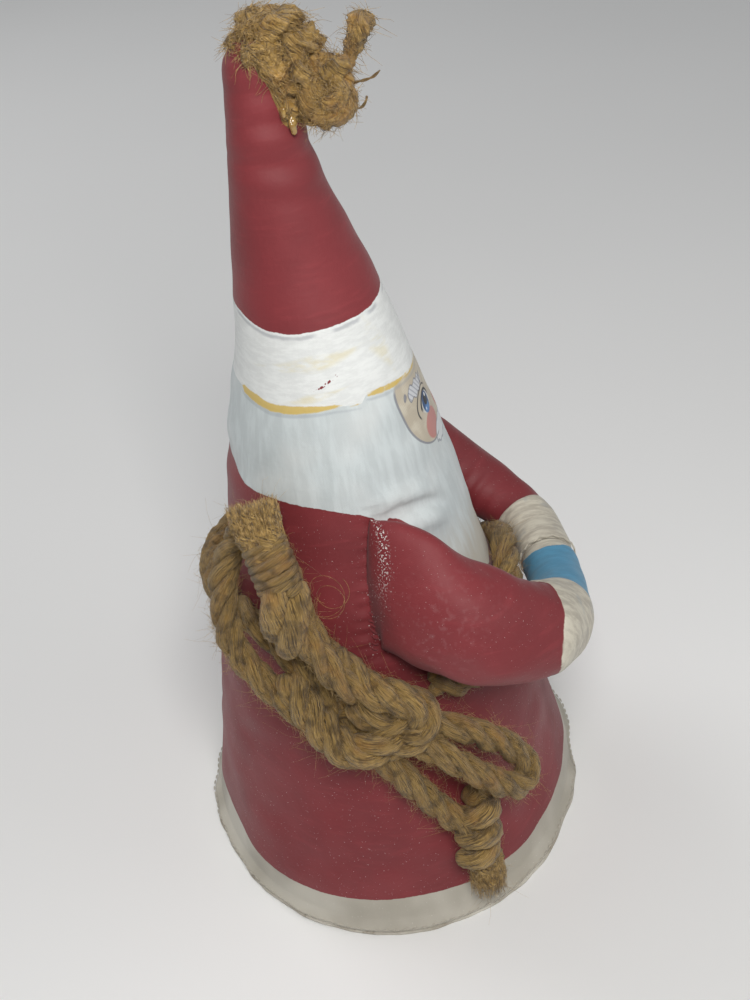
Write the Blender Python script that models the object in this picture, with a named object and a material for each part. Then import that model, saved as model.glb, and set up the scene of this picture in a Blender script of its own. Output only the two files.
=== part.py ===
"""Tomte gnome figurine: a stuffed, painted muslin doll with a jute rope belt.

Lengths are metres, +Z is up and the doll faces -Y, so its right side is -X.
The origin is the middle of the base, on the surface that the doll stands on.
"""
import math

import bmesh
import bpy
import numpy as np
from mathutils import Matrix, Vector

# ---- driving dimensions -------------------------------------------------
HEIGHT = 0.200            # base to the blunt tip of the hat
BASE_WIDTH = 0.110        # side to side at the base
BASE_DEPTH = 0.0952       # front to back at the base
HAT_LEAN = 0.0024         # how far back the tip of the hat stands
CLOTH = 0.0008            # painted muslin
GAP = 0.0003              # clearance between touching pieces
ROPE = 0.0062             # jute belt rope
TWINE = 0.0033            # thinner jute of the hat tassel
THREAD = 0.0005           # sewing thread
LIP = 0.0016              # how far the base seam stands out
CARD = 0.0015             # cardboard stiffener
BAG_HEIGHT = 0.015        # pouch of pellets that weights the base
BAG_SHARE = 0.80          # the pouch's half-depth as a share of the base's
HAND_GAP = GAP / 2        # each mitten ends this far from the middle plane
SEAM_TOP_ANGLE = 82       # where the shoulder seam ends, round the body
SEAM_FOOT_ANGLE = 91      # where it starts, just above the belt

SIDES = 44                # flats round the body
ARM_SIDES = 18            # flats round a sleeve
ARM_RINGS = 17            # rings along a sleeve
SHOULDER_SLANT = 0.22     # a sleeve leans with the body where it is sewn on
SLANT_SHARE = 0.35        # and stands upright from this share of its length
OPEN_END = 0.003          # how far a sleeve's hollow runs out of its shoulder end
LEAST_THICK = 0.0006      # half-thickness where a sleeve is pressed flat
ALONG_STEP = 0.0008       # distance over which a sleeve's direction is taken

SHOULDER_STITCHES = 19    # points of the zigzag down each shoulder seam
STITCH_DROP = 1.5         # millimetres from one of them to the next
STITCH_NEAR = 3.8         # degrees past the seam for one side of the zigzag
STITCH_FAR = 7.0          # and for the other
BASE_STITCHES = 72        # points of the zigzag round the base
MITTEN_STITCHES = 28      # points of the zigzag round the mittens' join

# Height and half-depth of the body, both as shares of HEIGHT.
OUTLINE = [
    (0.000, 0.238), (0.040, 0.231), (0.100, 0.218), (0.170, 0.203),
    (0.260, 0.183), (0.310, 0.170), (0.370, 0.156), (0.430, 0.145),
    (0.500, 0.133), (0.560, 0.120), (0.620, 0.104), (0.680, 0.089),
    (0.740, 0.0765), (0.800, 0.060), (0.850, 0.0475), (0.900, 0.038), (0.950, 0.031), (0.980, 0.026),
    (0.995, 0.016), (1.000, 0.000),
]

# Shoulder to mitten: x, y, z of the sleeve's centre line in millimetres, then
# its half-height and half-thickness. The left arm hangs a little lower.
RIGHT_ARM = [
    (-28.6, -2.2, 89.6, 16.0, 2.0), (-32.8, -8.0, 89.2, 16.0, 6.6),
    (-37.2, -17.0, 84.4, 14.4, 10.6), (-39.6, -26.5, 79.0, 12.4, 11.4),
    (-36.6, -35.5, 73.8, 10.7, 10.2), (-27.5, -42.0, 68.6, 8.6, 8.2),
    (-14.0, -45.6, 64.4, 6.9, 6.8), (0.0, -46.2, 61.6, 6.4, 6.3),
]
LEFT_ARM = [
    (29.8, -1.6, 86.5, 14.0, 2.0), (33.2, -7.0, 84.2, 13.6, 6.0),
    (35.2, -16.5, 78.0, 11.6, 9.4), (35.0, -26.0, 71.4, 9.6, 8.8),
    (30.4, -35.2, 64.2, 8.0, 7.8), (22.6, -42.0, 60.8, 7.0, 7.0),
    (12.0, -45.4, 60.2, 6.7, 6.5), (0.0, -46.2, 61.6, 6.4, 6.3),
]

# Rope routes: angle round the body (0 front, 90 the doll's right side, 180
# back), height in millimetres, and how far the rope's middle stands off the
# painted cloth in millimetres.
BELT_ROUTE = [
    (105.5, 67.0, 3.9), (111, 70.6, 3.6), (118, 74.6, 3.5), (126.5, 78.2, 3.5),
    (134, 80.2, 3.5), (142, 81.0, 3.5), (155, 80.5, 3.5), (180, 78, 3.5),
    (225, 72, 3.5), (270, 62, 3.5), (300, 53, 3.5), (325, 54, 3.5),
    (345, 64, 3.5), (360, 69.5, 3.4), (375, 69.5, 3.4), (395, 65, 3.5),
    (418, 61.5, 3.5), (434, 66, 3.9),
]
RIGHT_LOOP_ROUTE = [
    (75, 59, 8.4), (69.5, 56.2, 8.8), (63.8, 51.5, 9.2), (58.5, 45.8, 9.6),
    (56, 40.5, 10.0), (57.8, 36.8, 10.6), (62.5, 38.6, 11.3), (67.5, 43.8, 11.6),
    (73, 49.6, 11.0),
]
LEFT_LOOP_ROUTE = [
    (105, 60, 7.6), (116, 65, 6.9), (127, 71.5, 8.4), (135, 79, 10.4),
    (139, 87, 10.4), (141, 96, 8.2), (137, 103.5, 5.4), (128, 106, 3.8),
    (119.5, 98, 3.6), (114.7, 88.8, 3.8), (110.3, 82.6, 4.2), (104.5, 77.6, 4.8),
    (101, 74.6, 5.6),
]
RIGHT_TAIL_ROUTE = [
    (90, 50.5, 6.5), (85, 43.5, 6.0), (80.5, 37.5, 5.8),
]
LEFT_TAIL_ROUTE = [
    (101, 78, 11.8), (104.8, 83, 11.8), (108.3, 87.6, 11.8),
]
KNOT_MIDDLE = (91, 62.5, 6.7)
RIGHT_END_KNOT = (74.5, 30.0, 6.4)
LEFT_END_KNOT = (112, 94.5, 12.0)
RIGHT_TUFT_ROUTE = [(72, 23, 6.0), (71, 17.5, 5.4), (70.5, 12.0, 4.8)]
LEFT_TUFT_ROUTE = [(116, 102.5, 11.2), (121, 108.5, 9.6), (126, 114.5, 8.2)]


def clear_scene():
    """Remove whatever the scene holds."""
    for thing in list(bpy.data.objects):
        bpy.data.objects.remove(thing, do_unlink=True)


def collection(name):
    """A collection of its own under the scene."""
    group = bpy.data.collections.new(name)
    bpy.context.scene.collection.children.link(group)
    return group


def material(name, colour, roughness, metallic=0.0):
    """A plain Principled material."""
    made = bpy.data.materials.new(name)
    made.use_nodes = True
    shader = made.node_tree.nodes["Principled BSDF"]
    shader.inputs["Base Color"].default_value = (*colour, 1.0)
    shader.inputs["Roughness"].default_value = roughness
    shader.inputs["Metallic"].default_value = metallic
    return made


def half_depth(height):
    """The body's half-depth at a height, a smooth run through OUTLINE."""
    knots = np.array(OUTLINE) * HEIGHT
    z, r = knots[:, 0], knots[:, 1]
    slope = np.gradient(r, z)
    height = min(max(height, 0.0), HEIGHT)
    i = min(int(np.searchsorted(z, height, side="right")) - 1, len(z) - 2)
    span = z[i + 1] - z[i]
    t = (height - z[i]) / span
    if i >= len(z) - 3:
        return float(r[i] + (r[i + 1] - r[i]) * t)
    start = (1 + 2 * t) * (1 - t) ** 2 * r[i] + t * (1 - t) ** 2 * span * slope[i]
    end = t * t * (3 - 2 * t) * r[i + 1] - t * t * (1 - t) * span * slope[i + 1]
    return float(start + end)


def oval(height):
    """Width over depth: an oval base that turns round towards the hat."""
    base = BASE_WIDTH / BASE_DEPTH
    return 1.0 + (base - 1.0) * (1.0 - height / HEIGHT)


def lean(height):
    """How far the middle of the body stands behind the middle of the base."""
    share = min(max((height / HEIGHT - 0.68) / 0.20, 0.0), 1.0)
    return HAT_LEAN * share * share * (3 - 2 * share)


def on_body(angle, height_mm, standoff_mm):
    """A point off the painted cloth, from an angle, a height and a standoff."""
    height = height_mm / 1000
    out = standoff_mm / 1000
    turn = math.radians(angle)
    slope = math.hypot(half_depth(height + 0.004) - half_depth(height - 0.004), 0.008)
    out *= slope / 0.008
    b = half_depth(height) + out
    a = half_depth(height) * oval(height) + out
    reach = 1 / math.hypot(math.sin(turn) / a, math.cos(turn) / b)
    back = lean(height) - reach * math.cos(turn)
    return Vector((-reach * math.sin(turn), back, height))


def smooth_route(points, spacing, cyclic=False):
    """Points at an even spacing on a smooth curve through the route."""
    route = [Vector(p) for p in points]
    if cyclic:
        padded = [route[-1]] + route + route[:2]
    else:
        padded = [2 * route[0] - route[1]] + route + [2 * route[-1] - route[-2]]
    fine = []
    for i in range(1, len(padded) - 2):
        p0, p1, p2, p3 = padded[i - 1:i + 3]
        for step in range(24):
            t = step / 24
            fine.append(0.5 * (2 * p1 + (p2 - p0) * t
                               + (2 * p0 - 5 * p1 + 4 * p2 - p3) * t * t
                               + (3 * p1 - p0 - 3 * p2 + p3) * t ** 3))
    fine.append(padded[-2])
    arc = np.array([0.0] + [(b - a).length for a, b in zip(fine, fine[1:])]).cumsum()
    count = max(3, int(round(arc[-1] / spacing)) + 1)
    marks = np.linspace(0, arc[-1], count)
    if cyclic:
        marks = marks[:-1]
    coords = np.array([tuple(p) for p in fine])
    return [tuple(np.interp(m, arc, coords[:, k]) for k in range(3)) for m in marks]


def mesh_object(name, bm, paint, group, smooth=True):
    """Turn a bmesh into a named object of the doll."""
    bmesh.ops.recalc_face_normals(bm, faces=bm.faces)
    mesh = bpy.data.meshes.new(name)
    bm.to_mesh(mesh)
    bm.free()
    if smooth:
        mesh.shade_smooth()
        mesh.set_sharp_from_angle(angle=math.radians(50))
    thing = bpy.data.objects.new(name, mesh)
    group.objects.link(thing)
    if paint:
        mesh.materials.append(paint)
    return thing


def oval_turned(name, profile, paint, group, sides=SIDES):
    """Spin a closed (half-depth, height) profile, then widen it to the oval."""
    bm = bmesh.new()
    ring = [bm.verts.new((0.0, -r, z)) for r, z in profile]
    edges = [bm.edges.new((a, b)) for a, b in zip(ring, ring[1:])]
    if profile[0][0] > 0 or profile[-1][0] > 0:
        edges.append(bm.edges.new((ring[-1], ring[0])))
    bmesh.ops.spin(bm, geom=ring + edges, cent=(0, 0, 0), axis=(0, 0, 1),
                   angle=math.tau, steps=sides, use_merge=True)
    bmesh.ops.remove_doubles(bm, verts=bm.verts, dist=0.00002)
    for v in bm.verts:
        v.co.x *= oval(v.co.z)
        v.co.y += lean(v.co.z)
    return mesh_object(name, bm, paint, group)


def tube(name, points, diameter, paint, group, cyclic=False, resolution=2):
    """A cord: a curve with a round bevel and filled ends."""
    curve = bpy.data.curves.new(name, "CURVE")
    curve.dimensions = "3D"
    curve.bevel_depth = diameter / 2
    curve.bevel_resolution = resolution
    curve.use_fill_caps = not cyclic
    spline = curve.splines.new("POLY")
    spline.points.add(len(points) - 1)
    for point, place in zip(spline.points, points):
        point.co = (*place, 1.0)
    spline.use_cyclic_u = cyclic
    thing = bpy.data.objects.new(name, curve)
    group.objects.link(thing)
    if paint:
        curve.materials.append(paint)
    return thing


def as_mesh(thing, group):
    """Swap a curve object for a welded mesh object of the same name."""
    name = thing.name
    bpy.context.view_layer.update()
    evaluated = thing.evaluated_get(bpy.context.evaluated_depsgraph_get())
    mesh = bpy.data.meshes.new_from_object(evaluated)
    place = thing.matrix_world.copy()
    bpy.data.objects.remove(thing, do_unlink=True)
    bm = bmesh.new()
    bm.from_mesh(mesh)
    bmesh.ops.remove_doubles(bm, verts=bm.verts, dist=0.00001)
    bmesh.ops.recalc_face_normals(bm, faces=bm.faces)
    bm.to_mesh(mesh)
    bm.free()
    made = bpy.data.objects.new(name, mesh)
    made.matrix_world = place
    group.objects.link(made)
    return made


def boolean(thing, other, operation):
    """Cut or join with another object by an exact Boolean."""
    change = thing.modifiers.new(operation.lower(), "BOOLEAN")
    change.operation = operation
    change.solver = "EXACT"
    change.object = other


def as_cutter(thing):
    """Show a cutter as wire and leave it out of the model."""
    thing.hide_render = True
    thing.display_type = "WIRE"


def ellipsoid(name, centre, radii, turn, paint, group, rings=10, segments=16):
    """A rounded lump with three half-sizes, turned about its centre."""
    bm = bmesh.new()
    bmesh.ops.create_uvsphere(bm, u_segments=segments, v_segments=rings, radius=1.0)
    bmesh.ops.scale(bm, vec=radii, verts=bm.verts)
    thing = mesh_object(name, bm, paint, group)
    thing.matrix_world = Matrix.Translation(centre) @ turn.to_4x4()
    return thing


def cloth_turn(angle, height_mm):
    """A frame on the cloth: x along it sideways, y down it, z outwards."""
    out = on_body(angle, height_mm, 5) - on_body(angle, height_mm, 0)
    out.normalize()
    down = on_body(angle, height_mm - 4, 0) - on_body(angle, height_mm + 4, 0)
    out = (out - down * (out.dot(down) / down.length_squared)).normalized()
    down.normalize()
    return Matrix((down.cross(out), down, out)).transposed()


def body_profile(inset, bottom, top_drop):
    """The outline from the tip down to the bottom, moved in by an inset."""
    heights = [z * HEIGHT for z, _ in OUTLINE if z * HEIGHT > bottom + 0.002]
    line = [(0.0, HEIGHT - top_drop)]
    for z in sorted(heights, reverse=True):
        if z < HEIGHT - top_drop - 0.0005:
            line.append((max(half_depth(z) - inset, 0.0004), z))
    line.append((half_depth(bottom) - inset, bottom))
    return line


def make_body(paints, group, cutters):
    """The painted cone of cloth, its filling and the closed base."""
    hem = CLOTH + GAP
    outer = body_profile(0.0, hem, 0.0)
    lip_top = hem + CLOTH
    outer[-1] = (half_depth(lip_top), lip_top)
    rim = half_depth(0) + LIP
    inner = body_profile(CLOTH, hem, CLOTH * 1.4)
    shell = outer + [(rim, lip_top), (rim, hem)] + inner[::-1]
    oval_turned("body_cover", shell, paints["red"], group)

    seat = hem + CARD + GAP
    bag_top = seat + BAG_HEIGHT + GAP
    bag_radius = half_depth(0) * BAG_SHARE
    fill = body_profile(CLOTH + GAP, seat, CLOTH * 1.4 + 0.0008)
    fill += [(bag_radius + GAP, seat), (bag_radius + GAP, bag_top), (0.0, bag_top)]
    oval_turned("body_stuffing", fill, paints["fibre"], group)

    base = [(0.0, CLOTH), (rim, CLOTH), (rim, 0.0), (0.0, 0.0)]
    oval_turned("base_panel", base, paints["cream"], group)
    card_edge = half_depth(hem + CARD) - CLOTH - 2 * GAP
    card = [(0.0, hem + CARD), (card_edge, hem + CARD), (card_edge, hem), (0.0, hem)]
    oval_turned("base_card", card, paints["card"], group)

    corner = 0.005
    bag = [(0.0, seat + BAG_HEIGHT)]
    for k in range(7):
        turn = math.radians(90 - 30 * k)
        side = bag_radius - corner + corner * math.cos(turn)
        rise = BAG_HEIGHT / 2 + (BAG_HEIGHT / 2) * math.sin(turn)
        bag.append((side, seat + rise))
    bag.append((0.0, seat))
    oval_turned("weight_bag", bag, paints["pouch"], group, sides=32)

    grown = [(r + GAP if r > 0 else 0.0, z) for r, z in body_profile(0.0, 0.004, -GAP)]
    grown.append((0.0, 0.004))
    cutter = oval_turned("body_cutter", grown, None, cutters)
    as_cutter(cutter)
    return cutter


def seam_threads(paints, group):
    """Running stitches that hold the base panel to the cone."""
    lift = CLOTH * 2 + GAP * 2 + THREAD / 2
    ring = []
    for k in range(BASE_STITCHES):
        turn = math.tau * k / BASE_STITCHES
        reach = half_depth(0) + LIP * 0.50 + 0.0004 * (-1) ** k
        x = reach * oval(0) * math.cos(turn)
        ring.append((x, reach * math.sin(turn), lift))
    tube("base_seam_thread", ring, THREAD, paints["thread"], group, True, 1)


def sleeve(name, arm, grow, skip, end_x, paint, group):
    """Loft a sleeve through an arm's stations, closed at both ends.

    The first rings are left out by skip, or one more is put before them where
    skip is below zero, so that a hollow runs out of the shoulder end.
    """
    stations = np.array(arm) / 1000
    middle = [Vector(s[:3]) for s in stations]
    arc = np.array([0.0] + [(b - a).length for a, b in zip(middle, middle[1:])]).cumsum()
    line = np.array(smooth_route(middle, arc[-1] / ARM_RINGS / 4))
    steps = np.linalg.norm(np.diff(line, axis=0), axis=1)
    run = np.concatenate([[0.0], steps]).cumsum()

    def middle_at(mark):
        return Vector([np.interp(mark, run, line[:, i]) for i in range(3)])

    marks = list(np.linspace(0.0, run[-1], ARM_RINGS))
    marks = [-OPEN_END] + marks if skip < 0 else marks[skip:]
    bm = bmesh.new()
    rings = []
    for mark in marks:
        place = middle_at(mark)
        along = (middle_at(mark + ALONG_STEP) - middle_at(mark - ALONG_STEP)).normalized()
        if mark < 0:
            along = (middle_at(ALONG_STEP) - middle_at(0.0)).normalized()
            place += along * mark
        if mark == marks[-1]:
            along = Vector((math.copysign(1, -arm[0][0]), 0, 0))
            place.x = end_x
        share = mark / run[-1] * arc[-1]
        tall = np.interp(share, arc, stations[:, 3]) + grow
        thick = max(np.interp(share, arc, stations[:, 4]) + grow, LEAST_THICK)
        slant = SHOULDER_SLANT * max(0.0, 1.0 - share / arc[-1] / SLANT_SHARE)
        up = Vector((-math.copysign(slant, arm[0][0]), 0, 1))
        up = (up - along * along.dot(up)).normalized()
        side = along.cross(up)
        turns = [math.tau * j / ARM_SIDES for j in range(ARM_SIDES)]
        ring = [place + up * (tall * math.cos(t)) + side * (thick * math.sin(t))
                for t in turns]
        rings.append([bm.verts.new(point) for point in ring])
    for first, second in zip(rings, rings[1:]):
        for j in range(ARM_SIDES):
            n = (j + 1) % ARM_SIDES
            bm.faces.new((first[j], first[n], second[n], second[j]))
    bm.faces.new(rings[0][::-1])
    bm.faces.new(rings[-1])
    return mesh_object(name, bm, paint, group)


def belt_dents(cutters):
    """Cutters for the hollow that the belt presses into the arms' soft inner side."""
    dents = []
    for k, more in enumerate((GAP, GAP + CLOTH, GAP * 2 + CLOTH)):
        route = rope_route([step for step in BELT_ROUTE if 290 < step[0] < 425])
        dent = tube("belt_dent_%d" % k, route, ROPE + 2 * more, None, cutters)
        dent = as_mesh(dent, cutters)
        as_cutter(dent)
        dents.append(dent)
    return dents


def make_arm(side, arm, paints, group, cutters, body_cutter, dents):
    """A stuffed sleeve sewn to one side, its mitten meeting the other's."""
    toward = math.copysign(1, arm[0][0])
    end_x = toward * HAND_GAP
    cover = sleeve(side + "_arm_cover", arm, 0.0, 0, end_x, paints["red"], group)
    boolean(cover, body_cutter, "DIFFERENCE")
    boolean(cover, dents[0], "DIFFERENCE")
    hollow = sleeve(side + "_sleeve_cutter", arm, -CLOTH, -1, end_x + toward * CLOTH,
                    None, cutters)
    boolean(hollow, dents[1], "DIFFERENCE")
    as_cutter(hollow)
    boolean(cover, hollow, "DIFFERENCE")
    fill = sleeve(side + "_arm_stuffing", arm, -CLOTH - GAP - 0.0001, 2,
                  end_x + toward * (CLOTH + GAP), paints["fibre"], group)
    boolean(fill, body_cutter, "DIFFERENCE")
    boolean(fill, dents[2], "DIFFERENCE")

    top = arm[0][2] + arm[0][3] - 1.0
    stitches = []
    for k in range(SHOULDER_STITCHES):
        height = top - STITCH_DROP * k
        share = k / (SHOULDER_STITCHES - 1)
        seam = SEAM_TOP_ANGLE + (SEAM_FOOT_ANGLE - SEAM_TOP_ANGLE) * share
        around = seam + (STITCH_NEAR if k % 2 else STITCH_FAR)
        stitches.append(on_body(-around * toward, height, 0.8))
    tube(side + "_shoulder_thread", stitches, THREAD, paints["white"], group, False, 1)


def make_arms(paints, group, cutters, body_cutter):
    """Both arms, and the stitches that close the mittens together."""
    dents = belt_dents(cutters)
    make_arm("right", RIGHT_ARM, paints, group, cutters, body_cutter, dents)
    make_arm("left", LEFT_ARM, paints, group, cutters, body_cutter, dents)
    _, y, z, tall, _ = RIGHT_ARM[-1]
    reach = tall / 1000 + GAP + THREAD / 2
    join = []
    for k in range(MITTEN_STITCHES):
        turn = math.tau * k / MITTEN_STITCHES
        join.append((0.0003 * (-1) ** k, y / 1000 + reach * math.cos(turn),
                     z / 1000 + reach * math.sin(turn)))
    tube("mitten_thread", join, THREAD, paints["blue"], group, True, 1)


def rope_route(route):
    """A rope's points: its route is smoothed round the body, then evenly spaced."""
    steps = smooth_route([Vector(step) for step in route], 2.5)
    return smooth_route([on_body(*step) for step in steps], ROPE * 0.9)


def end_knot(name, place, turn_deg, paint, group):
    """An overhand knot pulled tight: a short fat barrel across the rope."""
    angle, height, standoff = place
    frame = cloth_turn(angle, height) @ Matrix.Rotation(math.radians(turn_deg), 3, "Z")
    size = (ROPE * 0.86, ROPE * 0.62, ROPE * 0.80)
    return ellipsoid(name, on_body(angle, height, standoff), size, frame, paint, group)


def make_belt(paints, group):
    """The rope round the waist, tied in a bow on the doll's right side."""
    jute = paints["jute"]
    tube("belt_rope", rope_route(BELT_ROUTE), ROPE, jute, group)
    tube("right_bow_loop", rope_route(RIGHT_LOOP_ROUTE), ROPE, jute, group)
    tube("left_bow_loop", rope_route(LEFT_LOOP_ROUTE), ROPE, jute, group)
    tube("right_bow_tail", rope_route(RIGHT_TAIL_ROUTE), ROPE, jute, group)
    tube("left_bow_tail", rope_route(LEFT_TAIL_ROUTE), ROPE, jute, group)
    tube("right_tail_tuft", rope_route(RIGHT_TUFT_ROUTE), ROPE * 1.05, jute, group)
    tube("left_tail_tuft", rope_route(LEFT_TUFT_ROUTE), ROPE * 1.25, jute, group)
    end_knot("right_tail_knot", RIGHT_END_KNOT, 20, jute, group)
    end_knot("left_tail_knot", LEFT_END_KNOT, -40, jute, group)
    angle, height, standoff = KNOT_MIDDLE
    ellipsoid("bow_knot", on_body(angle, height, standoff),
              (0.0088, 0.0072, 0.0062), cloth_turn(angle, height), jute, group)


def make_tassel(paints, group):
    """The jute clump glued over the front of the hat's tip."""
    jute = paints["jute"]
    band = [on_body(20, 199.5, 1.2) + Vector((0, 0.0032, 0.0030)), on_body(20, 198.5, 2.7),
            on_body(20, 193.0, 2.1), on_body(20, 188.0, 2.1), on_body(20, 184.0, 2.1)]
    tube("tassel_band", smooth_route(band, 0.003), TWINE, jute, group)
    ball = Vector((-0.0010, -0.0126, 0.1872))
    ellipsoid("tassel_knot", ball, (0.0048, 0.0042, 0.0060), Matrix.Identity(3), jute,
              group)
    upper = [(-0.0010, -0.0143, 0.1938), (-0.0010, -0.0160, 0.1962),
             (-0.0010, -0.0166, 0.1990)]
    tube("tassel_upper_end", smooth_route(upper, 0.0022), TWINE * 0.9, jute, group)
    lower = [(-0.0012, -0.0173, 0.1888), (-0.0014, -0.0198, 0.1898),
             (-0.0014, -0.0222, 0.1911)]
    tube("tassel_lower_end", smooth_route(lower, 0.002), TWINE * 0.4, jute, group)
    glue = paints["glue"]
    for name, height, angle in (("glue_dab_front", 180.0, 4), ("glue_dab_side", 190.0, 62)):
        frame = cloth_turn(angle, height)
        ellipsoid(name, on_body(angle, height, 1.15), (0.0016, 0.0013, 0.0008), frame,
                  glue, group, 8, 12)


def main():
    """Build the whole doll."""
    clear_scene()
    group = collection("tomte_gnome_figurine")
    cutters = collection("cutters")
    paints = {
        "red": material("red_paint", (0.23, 0.032, 0.034), 0.62),
        "cream": material("cream_paint", (0.60, 0.55, 0.45), 0.65),
        "white": material("white_paint", (0.72, 0.74, 0.74), 0.60),
        "blue": material("blue_paint", (0.07, 0.27, 0.46), 0.55),
        "thread": material("cotton_thread", (0.62, 0.56, 0.47), 0.70),
        "jute": material("jute_rope", (0.32, 0.20, 0.075), 0.80),
        "fibre": material("polyester_filling", (0.86, 0.86, 0.84), 0.90),
        "card": material("grey_card", (0.40, 0.34, 0.27), 0.85),
        "pouch": material("pellet_pouch", (0.66, 0.60, 0.50), 0.80),
        "glue": material("hot_glue", (0.70, 0.52, 0.25), 0.15),
    }
    body_cutter = make_body(paints, group, cutters)
    seam_threads(paints, group)
    make_arms(paints, group, cutters, body_cutter)
    make_belt(paints, group)
    make_tassel(paints, group)


main()
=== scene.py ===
"""Looks of a stuffed, painted cloth gnome with a jute rope belt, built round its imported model.

Lengths are metres, +Z is up and the doll faces -Y, so its right side is -X. A place on the
cloth is an angle in degrees (0 front, 90 the doll's right side, 180 back) and a height in
millimetres, with a standoff in millimetres for what lies on it.
"""
import math

import bpy
import numpy as np
from mathutils import Matrix, Vector


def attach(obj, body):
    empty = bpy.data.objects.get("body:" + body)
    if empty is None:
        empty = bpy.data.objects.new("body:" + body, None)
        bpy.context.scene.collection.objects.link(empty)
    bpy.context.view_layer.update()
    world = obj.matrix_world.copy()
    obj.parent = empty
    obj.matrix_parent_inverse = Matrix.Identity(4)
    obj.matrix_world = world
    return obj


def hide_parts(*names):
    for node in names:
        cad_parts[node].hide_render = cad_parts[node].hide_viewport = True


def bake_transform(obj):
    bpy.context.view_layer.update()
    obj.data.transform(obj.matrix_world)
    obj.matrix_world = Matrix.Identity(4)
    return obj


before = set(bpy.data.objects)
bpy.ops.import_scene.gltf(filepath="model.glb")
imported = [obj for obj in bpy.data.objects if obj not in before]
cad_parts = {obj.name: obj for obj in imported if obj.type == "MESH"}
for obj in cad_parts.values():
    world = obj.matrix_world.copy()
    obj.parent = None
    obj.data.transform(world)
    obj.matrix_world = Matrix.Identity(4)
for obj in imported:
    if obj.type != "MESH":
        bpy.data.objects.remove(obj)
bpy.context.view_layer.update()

bl_info = {
    "name": "Painted Cloth Gnome",
    "version": (1, 0, 0),
    "blender": (4, 5, 0),
    "location": "View3D > Sidebar > Gnome",
    "description": "Makes the painted cloth, jute rope, knots and stitching of a stuffed gnome",
    "category": "Add Mesh",
}

MM = 0.001
TINY = 1e-9

# ---- the body's own sizes ----------------------------------------------
HEIGHT = 0.200
BASE_WIDTH = 0.110
BASE_DEPTH = 0.0952
HAT_LEAN = 0.0024
GAP = 0.0003                 # between the two sleeves, where their hands meet
ROPE = 0.0062
OUTLINE = [
    (0.000, 0.238), (0.040, 0.231), (0.100, 0.218), (0.170, 0.203),
    (0.260, 0.183), (0.310, 0.170), (0.370, 0.156), (0.430, 0.145),
    (0.500, 0.133), (0.560, 0.120), (0.620, 0.104), (0.680, 0.089),
    (0.740, 0.0765), (0.800, 0.060), (0.850, 0.0475), (0.900, 0.038), (0.950, 0.031),
    (0.980, 0.026), (0.995, 0.016), (1.000, 0.000),
]

# Sleeves from shoulder to mitten: x, y, z, half-height, half-thickness, in millimetres.
RIGHT_ARM = [
    (-28.6, -2.2, 89.6, 16.0, 2.0), (-32.8, -8.0, 89.2, 16.0, 6.6),
    (-37.2, -17.0, 84.4, 14.4, 10.6), (-39.6, -26.5, 79.0, 12.4, 11.4),
    (-36.6, -35.5, 73.8, 10.7, 10.2), (-27.5, -42.0, 68.6, 8.6, 8.2),
    (-14.0, -45.6, 64.4, 6.9, 6.8), (0.0, -46.2, 61.6, 6.4, 6.3),
]
LEFT_ARM = [
    (29.8, -1.6, 86.5, 14.0, 2.0), (33.2, -7.0, 84.2, 13.6, 6.0),
    (35.2, -16.5, 78.0, 11.6, 9.4), (35.0, -26.0, 71.4, 9.6, 8.8),
    (30.4, -35.2, 64.2, 8.0, 7.8), (22.6, -42.0, 60.8, 7.0, 7.0),
    (12.0, -45.4, 60.2, 6.7, 6.5), (0.0, -46.2, 61.6, 6.4, 6.3),
]
SHOULDER_SLANT = 0.22        # a sleeve leans with the body where it is sewn on
SLANT_SHARE = 0.35           # and stands upright from this share of its length

# Rope routes: angle, height, and how far the rope's middle stands off the cloth.
BELT_ROUTE = [
    (105.5, 67.0, 3.9), (111, 70.6, 3.6), (118, 74.6, 3.5), (126.5, 78.2, 3.5),
    (134, 80.2, 3.5), (142, 81.0, 3.5), (155, 80.5, 3.5), (180, 78, 3.5),
    (225, 72, 3.5), (270, 62, 3.5), (300, 53, 3.5), (325, 54, 3.5),
    (345, 64, 3.5), (360, 69.5, 3.4), (375, 69.5, 3.4), (395, 65, 3.5),
    (418, 61.5, 3.5), (434, 66, 3.9),
]
BELT_INTO_KNOT = [(94, 57.5, 5.6), (99.5, 62, 4.6)]
RIGHT_LOOP_ROUTE = [
    (75, 59, 8.4), (69.5, 56.2, 8.8), (63.8, 51.5, 9.2), (58.5, 45.8, 9.6),
    (56, 40.5, 10.0), (57.8, 36.8, 10.6), (62.5, 38.6, 11.3), (67.5, 43.8, 11.6),
    (73, 49.6, 11.0),
]
RIGHT_LOOP_ENDS = [(82, 61.5, 7.0)], [(78, 54.2, 9.8), (84, 58.0, 7.6)]
LEFT_LOOP_ROUTE = [
    (105, 60, 7.6), (116, 65, 6.9), (127, 71.5, 8.4), (135, 79, 10.4),
    (139, 87, 10.4), (141, 96, 8.2), (137, 103.5, 5.4), (128, 106, 3.8),
    (119.5, 98, 3.6), (114.7, 88.8, 3.8), (110.3, 82.6, 4.2), (104.5, 77.6, 4.8),
    (101, 74.6, 5.6),
]
LEFT_LOOP_ENDS = [(99, 57.6, 7.6)], [(96, 69.5, 6.0)]
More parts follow.
